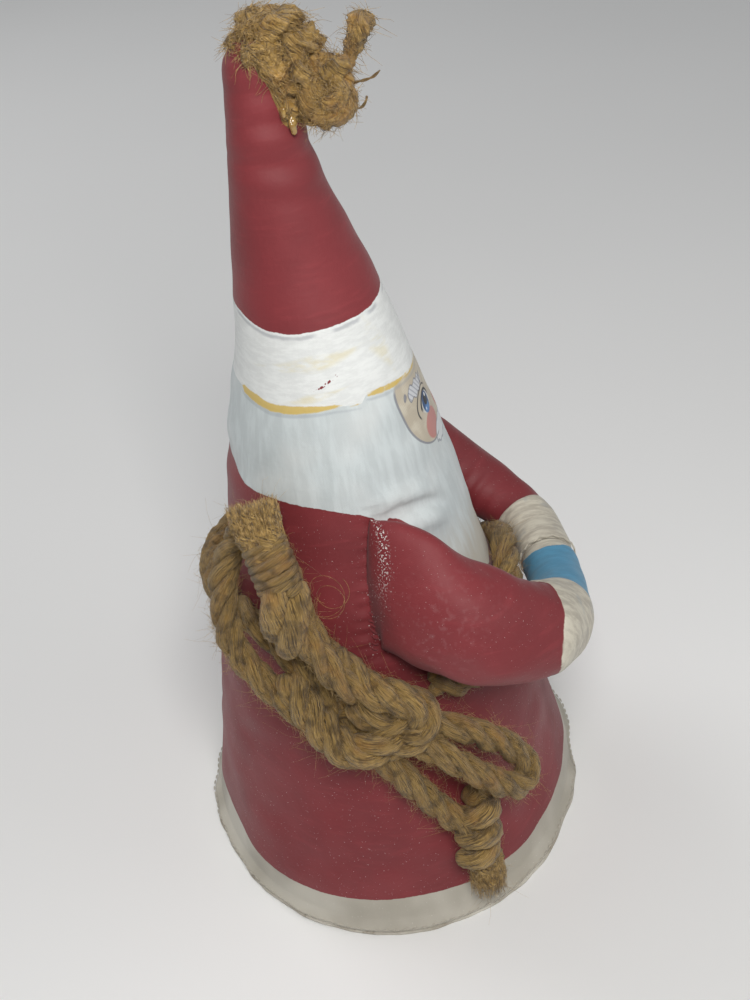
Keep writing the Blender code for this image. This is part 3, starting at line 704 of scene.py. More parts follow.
def painted_body(paint):
    """Coat, beard, hat band, hat and face, all painted on one cloth. Each edge signal is the
    height above a painted line, in millimetres."""
    f = Finish("painted_body_cloth", 0.62, Sheen_Weight=0.08)
    place = f.object_place()
    coat, foot, top = f.attribute("coat_edge"), f.attribute("band_foot"), f.attribute("band_top")
    hem, ochre, seam = f.attribute("hem_edge"), f.attribute("ochre"), f.attribute("seam_gap")
    side, rise = f.attribute("face_across"), f.attribute("face_rise")
    height = f.parts(place)[2]
    wobble = (f.noise(place, 420.0, 2.0) - 0.5) * 1.1 + (f.noise(place, 1500.0, 1.0) - 0.5) * 0.5
    fine = (f.noise(place, 2600.0, 2.0) - 0.5) * 0.5
    long_strokes = f.noise(f.scaled(place, (520.0, 520.0, 34.0)), 1.0, 3.0, 0.6)
    clouds = f.noise(place, 60.0, 2.0)

    red, strokes = red_paint(f, place, tuple(paint.coat))
    beard = beard_paint(f, height, long_strokes, clouds, paint)
    band = band_paint(f, place, side, rise, top + wobble * 0.4, paint)
    colour = f.mix(f.step(coat + wobble * 0.45, -0.08, 0.08), red, beard)
    colour = painted_face(f, colour, side, rise, fine, paint)
    shade = (1.0 - f.step(abs(foot + 1.3 + wobble * 0.3), 0.15, 0.75)) * f.step(ochre + 1.2, 0.0, 0.6)
    colour = f.mix(shade * 0.35, colour, BAND_SHADE)
    colour = f.mix(f.step(foot + wobble * 0.3, -0.08, 0.10), colour, band)
    streak = f.step(ochre + fine * 0.5 + (long_strokes - 0.5) * 0.5, -0.12, 0.22)
    colour = f.mix(streak * 0.92, colour, tuple(paint.ochre))
    colour = f.mix(f.step(top + wobble * 0.4, -0.08, 0.08), colour, red)
    hem_colour = f.mix(f.step(clouds, 0.35, 0.70), HEM_DULL, HEM_CLEAN)
    colour = f.mix(1.0 - f.step(hem + wobble * 0.35, -0.08, 0.08), colour, hem_colour)

    chips = flecks(f, place, 1500.0, 0.10) * (1.0 - f.step(seam, 0.3, 2.0))
    chips = chips.most(worn_seam(f, place, seam, height))
    stray = flecks(f, place, 2600.0, 0.0) * (1.0 - f.step(height, 0.095, 0.120))
    in_red = 1.0 - f.step(coat, -0.2, 0.4)
    colour = f.mix(chips.most(stray * 0.7) * in_red, colour, BARE_CLOTH)
    grime = f.step(f.noise(place, 25.0, 3.0), 0.55, 0.85)
    colour = f.mix(grime * 0.12, colour, GRIME)

    white = f.step(coat, -0.5, 0.5) * (1.0 - f.step(top, -0.5, 0.5))
    f.bump(cloth_relief(f, place) * 0.010 + strokes * 0.05 + long_strokes * 0.09 * white + chips * -0.10
           + f.noise(place, 900.0, 2.0) * 0.06, strength=0.9)
    return f.done(colour, 0.50 + f.noise(place, 130.0, 2.0) * 0.26)


def painted_face(f, colour, wide, rise, fine, paint):
    """Two mirrored eyes with lashes, tufted brows, cheeks, a small nose and a moustache."""

    def oval_at(x, z, half_x, half_z, power=2.0):
        """0 in the middle, 1 on the edge of an oval at (x, z) millimetres."""
        return (abs((wide - x) / half_x) ** power + abs((rise - z) / half_z) ** power) ** (1 / power)

    def inside(oval, edge, reach):
        """1 inside the oval, its edge `edge` millimetres soft, for an oval `reach` wide."""
        return 1.0 - f.step(oval + fine * (0.25 / reach), 1.0 - edge / reach, 1.0 + edge / reach)

    def line(oval, half, reach):
        """1 on the oval's own line, `half` millimetres to either side."""
        return 1.0 - f.step(abs(oval - 1.0) * reach + fine * 0.12, half * 0.6, half * 1.4)

    patch = oval_at(0.0, 122.0, 18.6, 11.6, 3.0)
    mottle = f.noise(f.object_place(), 300.0, 2.0)
    skin = f.mix(f.step(mottle, 0.4, 0.7), SKIN_DULL, tuple(paint.face))
    threads = f.math("SINE", wide * (math.tau / 0.42)) * 0.5 + 0.5
    skin = f.mix(threads * 0.20, skin, SKIN_THREAD)
    colour = f.mix(inside(patch, 0.3, 15.0), colour, skin)
    cheek = oval_at(9.9, 114.9, 4.1, 3.3)
    colour = f.mix(inside(cheek, 0.25, 3.5) * 0.92, colour, tuple(paint.cheek))
    nose = oval_at(0.0, 115.2, 2.5, 2.0)
    colour = f.mix(inside(nose, 0.45, 2.4) * 0.85, colour, tuple(paint.cheek))

    brow = oval_at(11.2, 125.6, 4.2, 1.5, 2.4)
    tufts = f.math("SINE", wide * 2.6 + rise * 1.5) * 0.18
    colour = f.mix(inside(brow + tufts, 0.25, 2.0), colour, BROW)
    hair = f.math("SINE", wide * 5.5 - rise * 3.0) * 0.5 + 0.5
    hair = inside(brow + tufts, 0.25, 2.0) * f.step(hair, 0.6, 0.9)
    colour = f.mix(hair * 0.6, colour, BROW_HAIR)
    colour = f.mix(line(brow + tufts, 0.16, 1.8) * 0.7, colour, BROW_LINE)

    white = oval_at(9.2, 120.3, 3.3, 2.5, 1.8)
    colour = f.mix(inside(white, 0.15, 2.8), colour, EYE_WHITE)
    iris = oval_at(9.3, 120.2, 2.35, 2.45)
    colour = f.mix(inside(iris, 0.15, 2.4), colour, IRIS)
    glow = inside(oval_at(9.6, 118.9, 1.6, 1.0), 0.3, 1.3)
    colour = f.mix(glow * 0.85, colour, IRIS_GLOW)
    colour = f.mix(inside(oval_at(9.1, 120.8, 1.25, 1.35), 0.15, 1.3), colour, PUPIL)
    colour = f.mix(inside(oval_at(8.4, 121.5, 0.45, 0.45), 0.1, 0.45), colour, EYE_SPARK)
    colour = f.mix(inside(oval_at(10.4, 119.1, 0.28, 0.40), 0.08, 0.35) * 0.8, colour, EYE_DOT)
    upper = f.step(rise, 119.4, 120.6)
    colour = f.mix(line(white, 0.32, 2.8) * upper, colour, LID_LINE)
    lash = oval_at(9.6, 120.2, 4.7, 3.9)
    outer = f.step(wide * 0.45 + rise, 124.6, 125.8)
    colour = f.mix(line(lash, 0.20, 4.2) * outer * 0.9, colour, LASH)

    lobe = oval_at(4.9, 110.7, 5.6, 2.3, 2.2)
    curl = f.math("SINE", wide * 1.9 + rise * 2.2) * 0.05
    colour = f.mix(inside(lobe + curl, 0.3, 3.0), colour, MOUSTACHE)
    colour = f.mix(line(lobe + curl, 0.20, 2.8) * 0.7, colour, MOUSTACHE_LINE)
    rim = line(patch, 0.22, 15.0) * f.step(wide, 6.5, 9.0) * (1.0 - f.step(rise, 128.0, 129.5))
    return f.mix(rim * 0.8, colour, FACE_RIM)


def painted_sleeve(paint):
    """Red sleeve, cream cuff and blue mitten, told apart by the distance along the arm."""
    f = Finish("painted_sleeve_cloth", 0.62, Sheen_Weight=0.08)
    place = f.object_place()
    cuff_edge, mitten_edge = f.attribute("cuff_edge"), f.attribute("mitten_edge")
    join_edge, chipped, seam = f.attribute("join_edge"), f.attribute("chipped"), f.attribute("seam_gap")
    wobble = (f.noise(place, 380.0, 2.0) - 0.5) * 1.6 + (f.noise(place, 1400.0, 1.0) - 0.5) * 0.5
    red, strokes = red_paint(f, place, tuple(paint.coat))
    brushed = f.noise(f.scaled(place, (700.0, 160.0, 260.0)), 1.0, 3.0, 0.65)
    cuff = f.mix(f.step(brushed, 0.36, 0.66), CUFF_DULL, tuple(paint.cuff))
    stain = f.noise(place, 210.0, 2.0)
    cuff = f.mix(f.step(stain, 0.60, 0.72) * 0.35, cuff, CUFF_STAIN)
    blue = f.mix(f.step(brushed, 0.35, 0.7), tuple(c * 0.84 for c in paint.mitten), tuple(paint.mitten))
    is_blue = 1.0 - f.step(mitten_edge + wobble * 0.4, -0.1, 0.12)
    is_blue = is_blue * f.step(join_edge + wobble * 0.8, -0.1, 0.12)
    colour = f.mix(is_blue, cuff, blue)
    colour = f.mix(f.step(cuff_edge + wobble * 0.4, -0.12, 0.12), colour, red)
    chips = flecks(f, place, 900.0, -0.02) * f.step(chipped, 0.25, 0.7)
    near_seam = flecks(f, place, 1500.0, 0.10) * (1.0 - f.step(seam, 0.3, 1.8))
    near_seam = near_seam.most(worn_seam(f, place, seam, f.parts(place)[2]))
    stray = flecks(f, place, 2600.0, 0.0)
    worn = chips.most(near_seam).most(stray * 0.5)
    colour = f.mix(worn * f.step(cuff_edge, 0.5, 1.0), colour, WORN_SLEEVE)
    haze = f.step(f.noise(place, 700.0, 3.0), 0.52, 0.70)
    colour = f.mix(chipped * haze * 0.22, colour, PINK_HAZE)
    in_cuff = 1.0 - f.step(cuff_edge, -0.5, 0.5)
    f.bump(strokes * 0.05 + brushed * in_cuff * (1.0 - is_blue * 0.75) * 0.24
           + cloth_relief(f, place) * 0.008 + worn * -0.08 + f.noise(place, 900.0, 2.0) * 0.06, strength=0.9)
    return f.done(colour, 0.50 + f.noise(place, 130.0, 2.0) * 0.26)


def hem_cloth():
    """Cream paint on the base panel and its sewn rim, greyed by handling."""
    f = Finish("hem_cloth", 0.70)
    place = f.object_place()
    blotch = f.noise(place, 90.0, 3.0)
    colour = f.mix(f.step(blotch, 0.35, 0.7), BASE_DULL, BASE_CLEAN)
    dirt = f.step(f.noise(place, 480.0, 2.0), 0.58, 0.72)
    colour = f.mix(dirt * 0.5, colour, BASE_DIRT)
    x, y, _ = f.parts(place)
    thread = 1000 * math.tau / 0.5
    weave = f.math("SINE", x * thread) * f.math("SINE", y * thread)
    f.bump(weave * 0.03 + f.noise(place, 700.0, 2.0) * 0.12)
    return f.done(colour, 0.62 + blotch * 0.2)


def jute(paint, name="jute_rope", light=1.0):
    """Long golden fibres: streaks along each strand and broad tone changes, with painted shade in dark
    streaks standing for the rope's hollows and painted highlights on pale ones.
    """
    f = Finish(name, 0.50, Sheen_Weight=0.15, Sheen_Roughness=0.4)
    place = f.object_place()
    u, v, _ = f.parts(f.lay_place())
    slant = u + v * 45.0
    turn = slant * math.tau
    ring = f.vector(f.math("COSINE", turn) * 7.0, f.math("SINE", turn) * 7.0, v * 260.0)
    fibre = f.noise(ring, 1.0, 4.0, 0.62, 0.3)
    fine = f.noise(f.scaled(ring, (3.1, 3.1, 2.2)), 1.0, 3.0, 0.6, 0.4)
    tone = f.noise(place, 95.0, 3.0, 0.6)
    patch = f.noise(place, 330.0, 2.0)
    main = tuple(c * light for c in paint.jute)
    # Painted shade: a dark brown laid in streaks along the strands for the shade in the rope's hollows; the
    # same colour also darkens random patches below.
    dark = (main[0] * 0.17, main[1] * 0.14, main[2] * 0.10)
    # Painted highlight: a pale gold laid on the fine streaks for light catching the fibres.
    pale = (main[0] * 1.85, main[1] * 1.98, main[2] * 2.5)
    colour = f.mix(f.step(fibre, 0.35, 0.56), dark, main)
    colour = f.mix(f.step(fine, 0.52, 0.68) * 0.9, colour, pale)
    warm = (main[0] * 1.10, main[1] * 0.78, main[2] * 0.50)
    colour = f.mix(f.step(tone, 0.48, 0.70) * 0.45, colour, warm)
    colour = f.mix(f.step(patch, 0.49, 0.68) * 0.62, colour, dark)
    f.bump(fibre * 0.75 + fine * 0.30 + patch * 0.25)
    return f.done(colour, 0.24 + fibre * 0.34)


def fibre_hair(paint):
    """Single stray fibres, paler than the rope."""
    f = Finish("stray_fibre", 0.45, Sheen_Weight=0.2)
    tone = f.noise(f.object_place(), 900.0, 2.0)
    main = tuple(paint.jute)
    pale = (main[0] * 1.6, main[1] * 1.68, main[2] * 2.1)
    dark = (main[0] * 0.42, main[1] * 0.36, main[2] * 0.30)
    colour = f.mix(f.step(tone, 0.35, 0.50), dark, main)
    return f.done(f.mix(f.step(tone, 0.50, 0.68), colour, pale), 0.34 + tone * 0.2)


def sewing_thread(name, colour, chips=None):
    """Two-ply thread: fine slanting plies, with paint that has worn off where asked."""
    f = Finish(name, 0.62, Sheen_Weight=0.15)
    place = f.object_place()
    x, y, z = f.parts(place)
    ply = f.math("SINE", (x + y + z) * (1000 * math.tau / 0.35)) * 0.5 + 0.5
    mixed = f.mix(ply * 0.5, tuple(colour), tuple(c * 0.6 for c in colour))
    if chips:
        mixed = f.mix(f.step(f.noise(place, 900.0, 1.0), 0.50, 0.56) * f.step(z, 0.084, 0.096), mixed, chips)
    f.bump(ply * 0.06)
    return f.done(mixed, 0.5 + ply * 0.2)


def filling_finish():
    """Loose polyester fibre."""
    f = Finish("fibre_filling", 0.9, Sheen_Weight=0.3)
    fluff = f.noise(f.object_place(), 260.0, 5.0, 0.7)
    f.bump(fluff * 0.6)
    return f.done(f.mix(fluff, (0.62, 0.62, 0.60), (0.86, 0.86, 0.84)))


def card_finish():
    """Grey board with short fibres."""
    f = Finish("grey_board", 0.85)
    specks = f.noise(f.object_place(), 1200.0, 3.0)
    f.bump(specks * 0.05)
    return f.done(f.mix(f.step(specks, 0.45, 0.65), (0.33, 0.28, 0.22), (0.46, 0.40, 0.31)))


def pouch_finish():
    """Calico pouch, the pellets pushing its weave out."""
    f = Finish("pellet_pouch", 0.8)
    place = f.object_place()
    x, y, _ = f.parts(place)
    weave = f.math("SINE", x * (1000 * math.tau / 0.6)) * f.math("SINE", y * (1000 * math.tau / 0.6))
    pellets = f.cells(place, 330.0)
    f.bump(weave * 0.05 + pellets * -0.5)
    return f.done(f.mix(weave * 0.5 + 0.5, (0.55, 0.49, 0.39), (0.70, 0.64, 0.53)))


def glue_finish():
    """Clear amber hot glue, glossy, with cloudy streaks."""
    f = Finish("hot_glue", 0.14, Coat_Weight=0.6, Coat_Roughness=0.05)
    cloudy = f.noise(f.object_place(), 700.0, 2.0)
    f.bump(cloudy * 0.10)
    colour = f.mix(f.step(cloudy, 0.35, 0.7), (0.25, 0.14, 0.035), (0.42, 0.28, 0.09))
    return f.done(colour, 0.08 + cloudy * 0.15)


def floor_finish():
    """Pale matt studio board."""
    f = Finish("studio_floor", 0.75)
    tone = f.noise(f.object_place(), 6.0, 2.0)
    return f.done(f.mix(tone, (0.86, 0.86, 0.855), (0.90, 0.90, 0.895)))


# ---- body and sleeves ---------------------------------------------------------
def angle_and_height(points):
    """Degrees round the body, from -180 to 180, and millimetres up."""
    x, y, z = np.moveaxis(points, -1, 0)
    return np.degrees(np.arctan2(-x, lean(z) - y)), z / MM


def seam_gap(points):
    """Millimetres from either shoulder seam, measured round the body."""
    angle, height = angle_and_height(points)
    known, seam = np.array(SHOULDER_SEAM[::-1]).T
    across = np.radians(np.abs(angle) - np.interp(height, known, seam)) * half_depth(points[..., 2]) / MM
    beyond = np.maximum(height - known[-1], 0) + np.maximum(known[0] - height, 0)
    return np.hypot(across, beyond)


def cloth_shift(turn, height):
    """How far the stuffed cloth swells out, in metres: lumps, folds, a crease and seam puckers."""
    angle = np.degrees((turn + math.pi) % math.tau - math.pi)
    up = height / MM
    spot = round_body(turn, height, 0.0)
    small = np.clip(half_depth(height) / 0.02, 0.2, 1)
    shift = small * (0.42 * ripple(spot, 0.034, 3) + 0.10 * ripple(spot, 0.011, 4))
    for z, depth, width, middle, spread, tilt in HAT_FOLDS:
        level = z + tilt * np.cos(np.radians(angle - middle)) + 0.5 * np.sin(np.radians(angle * 2.3 + z))
        shift = shift + depth * np.exp(-((up - level) / width) ** 2 - ((angle - middle) / spread) ** 2)
        shift = shift + 0.5 * depth * np.exp(-((up - level - 1) / width) ** 2 - ((angle + 110) / 60) ** 2)
    side = np.abs(angle)
    crease = 104.3 - 0.19 * np.maximum(66 - side, 0) + 0.6 * np.sin(np.radians(side * 9))
    near = np.exp(-((side - 60) / 17.0) ** 4)
    shift = shift - 1.6 * near * np.exp(-((up - crease) / 1.4) ** 2)
    shift = shift + 1.0 * near * np.exp(-((up - crease - 3.6) / 2.6) ** 2)
    shift = shift + 1.3 * near * np.exp(-((up - crease + 3.4) / 2.4) ** 2)
    shift = shift + 0.9 * np.exp(-(angle / 60) ** 2 - ((up - 158) / 12.0) ** 2)
    shift = shift - 0.9 * np.exp(-((side - 172) / 22.0) ** 2 - ((up - 112.5) / 3.2) ** 2)
    gap = seam_gap(spot)
    puckers = 0.28 * np.cos(math.tau * up / 3.1 + 0.6 * np.sin(up)) * np.exp(-((gap - 1.8) / 1.6) ** 2)
    shift = shift + puckers - 0.55 * np.exp(-(gap / 0.8) ** 2)
    shift = np.where(shift < -0.4, -0.4 - 0.45 * np.tanh((-0.4 - shift) / 0.45), shift)
    calm = np.clip((up - 2.5) / 6, 0, 1) * np.clip((199.0 - up) / 4, 0, 1)
    return shift * calm * MM


def rim_wave(turn):
    """The sewn rim's unevenness round the base, about -1 to 1."""
    ring = np.stack([np.sin(turn), np.cos(turn), turn * 0], axis=-1)
    return 0.7 * ripple(ring, 0.42, 21) + 0.5 * ripple(ring, 0.13, 22)


BODY_COLUMNS = 336


def add_body(paint):
    """Rows up the outline; each ring is round_body grown by the rim's flare and the cloth's shift."""
    turn = math.tau * np.arange(BODY_COLUMNS)[None] / BODY_COLUMNS
    low = [(1.0, -9.0, 0), (1.0, 0.7, 1), (1.2, 1.1, 1), (1.6, 1.2, 1),
           (1.95, 1.0, 1), (2.4, 0.65, 0.8), (3.0, 0.32, 0.5), (3.6, 0.12, 0.2)]
    tip = 200 - 7 * (1 - np.linspace(0.04, 0.995, 26) ** 0.55)
    rows = np.array(low + [(z, 0.0, 0.0) for z in (*np.linspace(3.9, 193, 236), *tip)])
    height, flare, wavy = (rows[:, k, None] for k in range(3))
    wave = rim_wave(turn)
    height = (height + 0.16 * wavy * (wave + 0.6)) * MM
    shift = cloth_shift(turn, np.broadcast_to(height, (len(rows), BODY_COLUMNS)))
    out = (flare + 0.30 * wavy * wave) * MM + shift
    grid = round_body(turn + 0 * height, height + 0 * turn, out)
    piece, points = Shape().add(grid[None], flip=True).build("painted_body", painted_body(paint))
    angle, up = angle_and_height(points)
    mark(piece, "coat_edge", up - table_line(COAT_LINE, angle))
    mark(piece, "band_foot", up - table_line(BAND_FOOT, angle))
    mark(piece, "band_top", up - table_line(BAND_TOP, angle))
    mark(piece, "hem_edge", up - table_line(HEM_LINE, angle))
    mark(piece, "ochre", table_line(OCHRE_HALF_WIDTH, angle) - np.abs(up - table_line(BAND_FOOT, angle)))
    mark(piece, "seam_gap", seam_gap(points))
    mark(piece, "face_across", np.radians(np.abs(angle)) * half_depth(points[:, 2]) / MM)
    mark(piece, "face_rise", up)
    place(piece, "torso", "red_paint", "body_cover")


def add_base():
    """The base panel: a flat oval whose rim follows the body's, both being one seam."""
    turn = math.tau * np.arange(BODY_COLUMNS)[None] / BODY_COLUMNS
    rows = np.array([(0.0, -47.0, 0), (0.0, -20.0, 0), (0.0, -3.0, 0), (0.0, 0.5, 0.6), (0.15, 0.95, 1),
                     (0.45, 1.1, 1), (0.75, 0.95, 1), (0.85, 0.5, 1), (0.85, -3.0, 0), (0.85, -47.0, 0)])
    height, flare, wavy = (rows[:, k, None] for k in range(3))
    wave = rim_wave(turn + 0.03)
    height = np.maximum(height + 0.16 * wavy * (wave + 0.6) * (height > 0.1), 0) * MM
    grid = round_body(turn + 0 * height, 0 * turn, (flare + 0.34 * wavy * wave) * MM)
    grid[..., 2] = height + 0 * turn
    piece, _ = Shape().add(grid[None], flip=True).build("base_cloth", hem_cloth())
    place(piece, "torso", "cream_cloth", "base_panel")


def add_base_stitches():
    """Running stitches through the rim: short rounded threads, end to end with gaps."""
    count = 150
    t = math.tau * (np.arange(count)[:, None] + np.linspace(0.14, 0.86, 9)[None]) / count
    bulge = np.sin(np.linspace(0, math.pi, 9))[None]
    wave = rim_wave(t)
    out = (0.0010 + 0.0003 * wave)
    line = round_body(t, 0 * t, out)
    line[..., 2] = (2.0 + 0.16 * (wave + 0.6) + 0.20 * bulge) * MM
    radius = 0.00021 * np.sqrt(np.clip(bulge, 0.1, 1)) + 0 * t
    up = np.broadcast_to(np.array([0, 0, 1.0]), line.shape)
    shape = Shape().add(sweep(line, radius, 6, up))
    piece, _ = shape.build("base_stitches", sewing_thread("cotton_thread", (0.58, 0.54, 0.46)))
    place(piece, "torso", "cotton_thread", "base_seam_thread")


def pressed(points, path, clearance):
    """Points nearer to the path than the clearance are pushed straight away from it."""
    sparse = path[::6]
    gaps = points[..., None, :] - sparse
    far = np.linalg.norm(gaps, axis=-1)
    near = far.argmin(-1)
    gap = np.take_along_axis(gaps, near[..., None, None], -2)[..., 0, :]
    distance = np.maximum(np.take_along_axis(far, near[..., None], -1), TINY)
    push = np.maximum(clearance - distance, 0)
    return points + gap / distance * push


def sleeve_edges(side, reach, top, outer):
    """Millimetres towards the shoulder from where each paint ends: the cuff, the mitten and,
    at the hand, the join with the other sleeve. Only the right sleeve ends in a mitten."""
    if side == "left":
        no_mitten = 9 + 0 * reach + 0 * top
        return {"cuff_edge": reach - 20.0 + 1.2 * top, "mitten_edge": no_mitten, "join_edge": no_mitten}
    return {
        "cuff_edge": reach - 38.3 - 5.6 * np.maximum(outer, -0.3) - 2.0 * top,
        "mitten_edge": reach - 28.3 + 1.0 * np.maximum(outer, 0) + 0 * top,
        "join_edge": reach - 1.5 - 4.5 * np.maximum(top, 0) * (1 - 0.6 * np.maximum(outer, 0)),
    }


def add_sleeve(side, arm, paint_finish, belt):
    """Ovals round a smooth arm line, swollen by stuffing lumps and elbow wrinkles."""
    rows, cols = 150, 96
    stations = np.array(arm, float) * MM
    line = smooth_path(stations, 0.0002)
    run = run_of(line[:, :3])
    marks = np.linspace(0, run[-1], rows)
    line = np.stack([np.interp(marks, run, column) for column in line.T], axis=-1)
    middle, tall, thick = line[:, :3], line[:, 3:4], np.maximum(line[:, 4:5], 0.0006)
    along = unit(np.gradient(middle, axis=0))
    along[-3:] = (math.copysign(1, -arm[0][0]), 0, 0)
    share = (marks / run[-1])[:, None]
    slant = -math.copysign(SHOULDER_SLANT, arm[0][0]) * np.maximum(1 - share / SLANT_SHARE, 0)
    up = np.concatenate([slant, 0 * share, 1 + 0 * share], axis=1)
    up = unit(up - along * (up * along).sum(-1, keepdims=True))
    across = np.cross(along, up)
    turn = math.tau * np.arange(cols)[None, :, None] / cols
    ring = up[:, None] * np.cos(turn) * tall[:, None] + across[:, None] * np.sin(turn) * thick[:, None]
    grid = middle[:, None] + ring
    reach = ((run[-1] - marks) / MM)[:, None]
    top = np.cos(turn[..., 0])
    outer = (unit(ring) * np.array([math.copysign(0.8, arm[0][0]), -0.6, 0])).sum(-1)
    edges = sleeve_edges(side, reach, top, outer)
    swell = 0.030 * ripple(grid, 0.020, 31) + 0.010 * ripple(grid, 0.007, 32)
    bend = np.exp(-((share - 0.52) / 0.13) ** 2)
    toward_body = np.clip((across[:, None] * np.sin(turn)) @ np.array([0.0, 1.0, 0.0]) + 0.2, 0, 1)
    swell = swell + 0.035 * bend * np.sin(share * 95 + 1.2 * np.sin(turn[..., 0])) * toward_body
    cuff = 0.055 / (1 + np.exp(-edges["mitten_edge"] / 0.25)) / (1 + np.exp(edges["cuff_edge"] / 0.5))
    swell = (swell + cuff) * np.clip((1 - share) / 0.03, 0, 1)
    swell = swell - 0.06 * np.clip((share - 0.985) / 0.015, 0, 1) ** 2
    grid = middle[:, None] + ring * (1 + swell[..., None])
    grid[-1, :, 0] = math.copysign(GAP / 2, arm[0][0])
    grid = pressed(grid, belt, ROPE / 2 + 0.0004)
    piece, points = Shape().add(grid[None]).build(f"{side}_sleeve", paint_finish)
    for name, edge in edges.items():
        mark(piece, name, np.concatenate([edge.ravel(), edge[0, :1], edge[-1, :1]]))
    spot = on_cloth([[67, 86, 11]])[0] * np.array([math.copysign(1, -arm[0][0]), 1, 1])
    mark(piece, "chipped", np.exp(-(np.linalg.norm(points - spot, axis=-1) / 0.0090) ** 2))
    mark(piece, "seam_gap", seam_gap(points))
    place(piece, "torso", "red_paint", f"{side}_arm_cover")


def add_shoulder_stitches(side, sign, finish):
    """Whip stitches over the shoulder seam: short arched threads, slanting in turn."""
    count, steps = 22, 9
    k = np.arange(count)[:, None]
    known, seam = np.array(SHOULDER_SEAM[::-1]).T
    t = np.linspace(-1, 1, steps)[None]
    rng = np.random.default_rng(40)
    height = 75.2 + 29.2 * k / (count - 1) + (0.75 + 0.2 * rng.normal(size=(count, 1))) * t
    angle = np.interp(height, known, seam) + 1.5 * t + 0.4 * rng.normal(size=(count, 1))
    stand = 0.15 + 0.55 * (1 - t * t) * rng.uniform(0.6, 1.1, (count, 1))
    line = on_cloth(np.stack([sign * angle, height, stand], axis=-1))
    radius = 0.00022 * np.sqrt(np.clip(1 - t ** 4, 0.15, 1)) * np.ones((count, 1))
    grid = sweep(line, radius, 7, outward(line))
    piece, _ = Shape().add(grid).build(f"{side}_shoulder_stitches", finish)
    place(piece, "torso", "white_thread", f"{side}_shoulder_thread")


# ---- rope ------------------------------------------------------------------------
# Sprung fibres: their spot on the cloth, radius in millimetres, turns and seed.
CURLS = [
    ((104.5, 92.0, 6.0), 4.2, 1.2, 91), ((103.0, 90.5, 5.0), 3.4, 1.5, 92),
    ((128.0, 100.0, 4.0), 5.0, 0.6, 93), ((118.0, 72.0, 6.0), 4.0, 0.5, 94),
]
CURL_RADIUS = 0.000036

# The knot's two outer turns, where its stray fibres grow.
LOW_WRAP = [(114, 68, 7.5), (107.3, 62.6, 8.8), (98.6, 58.9, 9.8), (89.0, 61.4, 8.2)]
HIGH_WRAP = [(98, 75, 7.4), (87.4, 70.9, 10.0), (80.4, 66, 10.4), (82.5, 61, 10), (90, 57.6, 6.8)]


def add_belt(finish, belt, lay):
    """The rope held round the waist."""
    shape = strands(Shape(), belt, outward(belt), ROPE, lay, seed=51)
    piece, _ = shape.build("waist_rope", finish)
    place(piece, "torso", "jute", "belt_rope")


def add_bow_knot(finish):
    """Two loosened lengths of rope crossing over a packed middle, as a tight bow's knot shows."""
    shape = Shape()
    axes = cloth_axes(93, 62.5)
    lump(shape, on_cloth([[94, 63.5, 3.9]])[0], (0.0072, 0.0060, 0.0042), axes, 0.005, 61)
    laid_strand(shape, [(120, 72.5, 5.5), (114.5, 68.8, 7.2), (111.0, 65.7, 8.0), (107.3, 62.6, 8.8),
                        (103.4, 60.0, 9.4), (98.6, 58.9, 9.8), (93.6, 59.6, 9.4), (89.0, 61.4, 8.2),
                        (85.5, 63.5, 6.2)], 0.0078, 62, plump=1.22)
    laid_strand(shape, [(103.5, 78.5, 5.0), (98.2, 75.4, 7.4), (92.8, 72.8, 9.2), (87.4, 70.9, 10.0),
                        (82.6, 68.6, 10.4), (80.2, 65.4, 10.4), (81.2, 62.0, 10.2), (85.0, 59.6, 9.2),
                        (90.0, 57.6, 6.8), (94, 56.5, 4.6)], 0.0074, 63, plump=1.22)
    laid_strand(shape, [(100, 67.5, 6.6), (95.5, 66.0, 8.2), (90.5, 65.2, 8.6), (86, 65.5, 7.4)], 0.0058, 64)
    piece, _ = shape.build("bow_centre_knot", finish)
    return place(piece, "torso", "jute", "bow_knot")


def add_loop(side, route, finish, lay, seed):
    """A bow loop, a free length of rope from the knot and back into it."""
    path = rope_path(route)
    shape = strands(Shape(), path, outward(path), ROPE, lay, phase=seed, seed=seed)
    piece, _ = shape.build(f"{side}_loop_rope", finish)
    place(piece, f"{side}_loop", "jute", f"{side}_bow_loop")
    return piece, path


def add_tail(side, route, finish, lay, seed):
    """A bow tail, a free length of rope from the knot to its frayed end."""
    path = rope_path(route)
    shape = strands(Shape(), path, outward(path), ROPE, lay, phase=seed, seed=seed)
    piece, _ = shape.build(f"{side}_tail_rope", finish)
    place(piece, f"{side}_tail", "jute", f"{side}_bow_tail")
    return piece, path


def declare_cord(path):
    """Work out a free cord's length and a sparse copy of its route; neither is kept."""
    float(run_of(path)[-1])
    path[::8].tolist() + [path[-1].tolist()]


def cut_end(shape, path, start, end, seed, ragged=0.06):
    """The packed fibres of a cut rope's end: a tube that widens, domed where it was cut."""
    share = np.linspace(0, 1, len(path))
    radius = start + (end - start) * np.sqrt(share)
    dome = np.sqrt(np.clip(1 - np.clip((share - 0.78) / 0.22, 0, 1) ** 2.2, 0.02, 1))
    grid = sweep(path[None], (radius * dome)[None], 56, outward(path)[None])
    core = grid.mean(axis=2, keepdims=True)
    rough = ragged * ripple(grid, 0.0035, seed) + ragged * 0.6 * ripple(grid, 0.0010, seed + 1)
    return shape.add(core + (grid - core) * (1 + rough[..., None]))


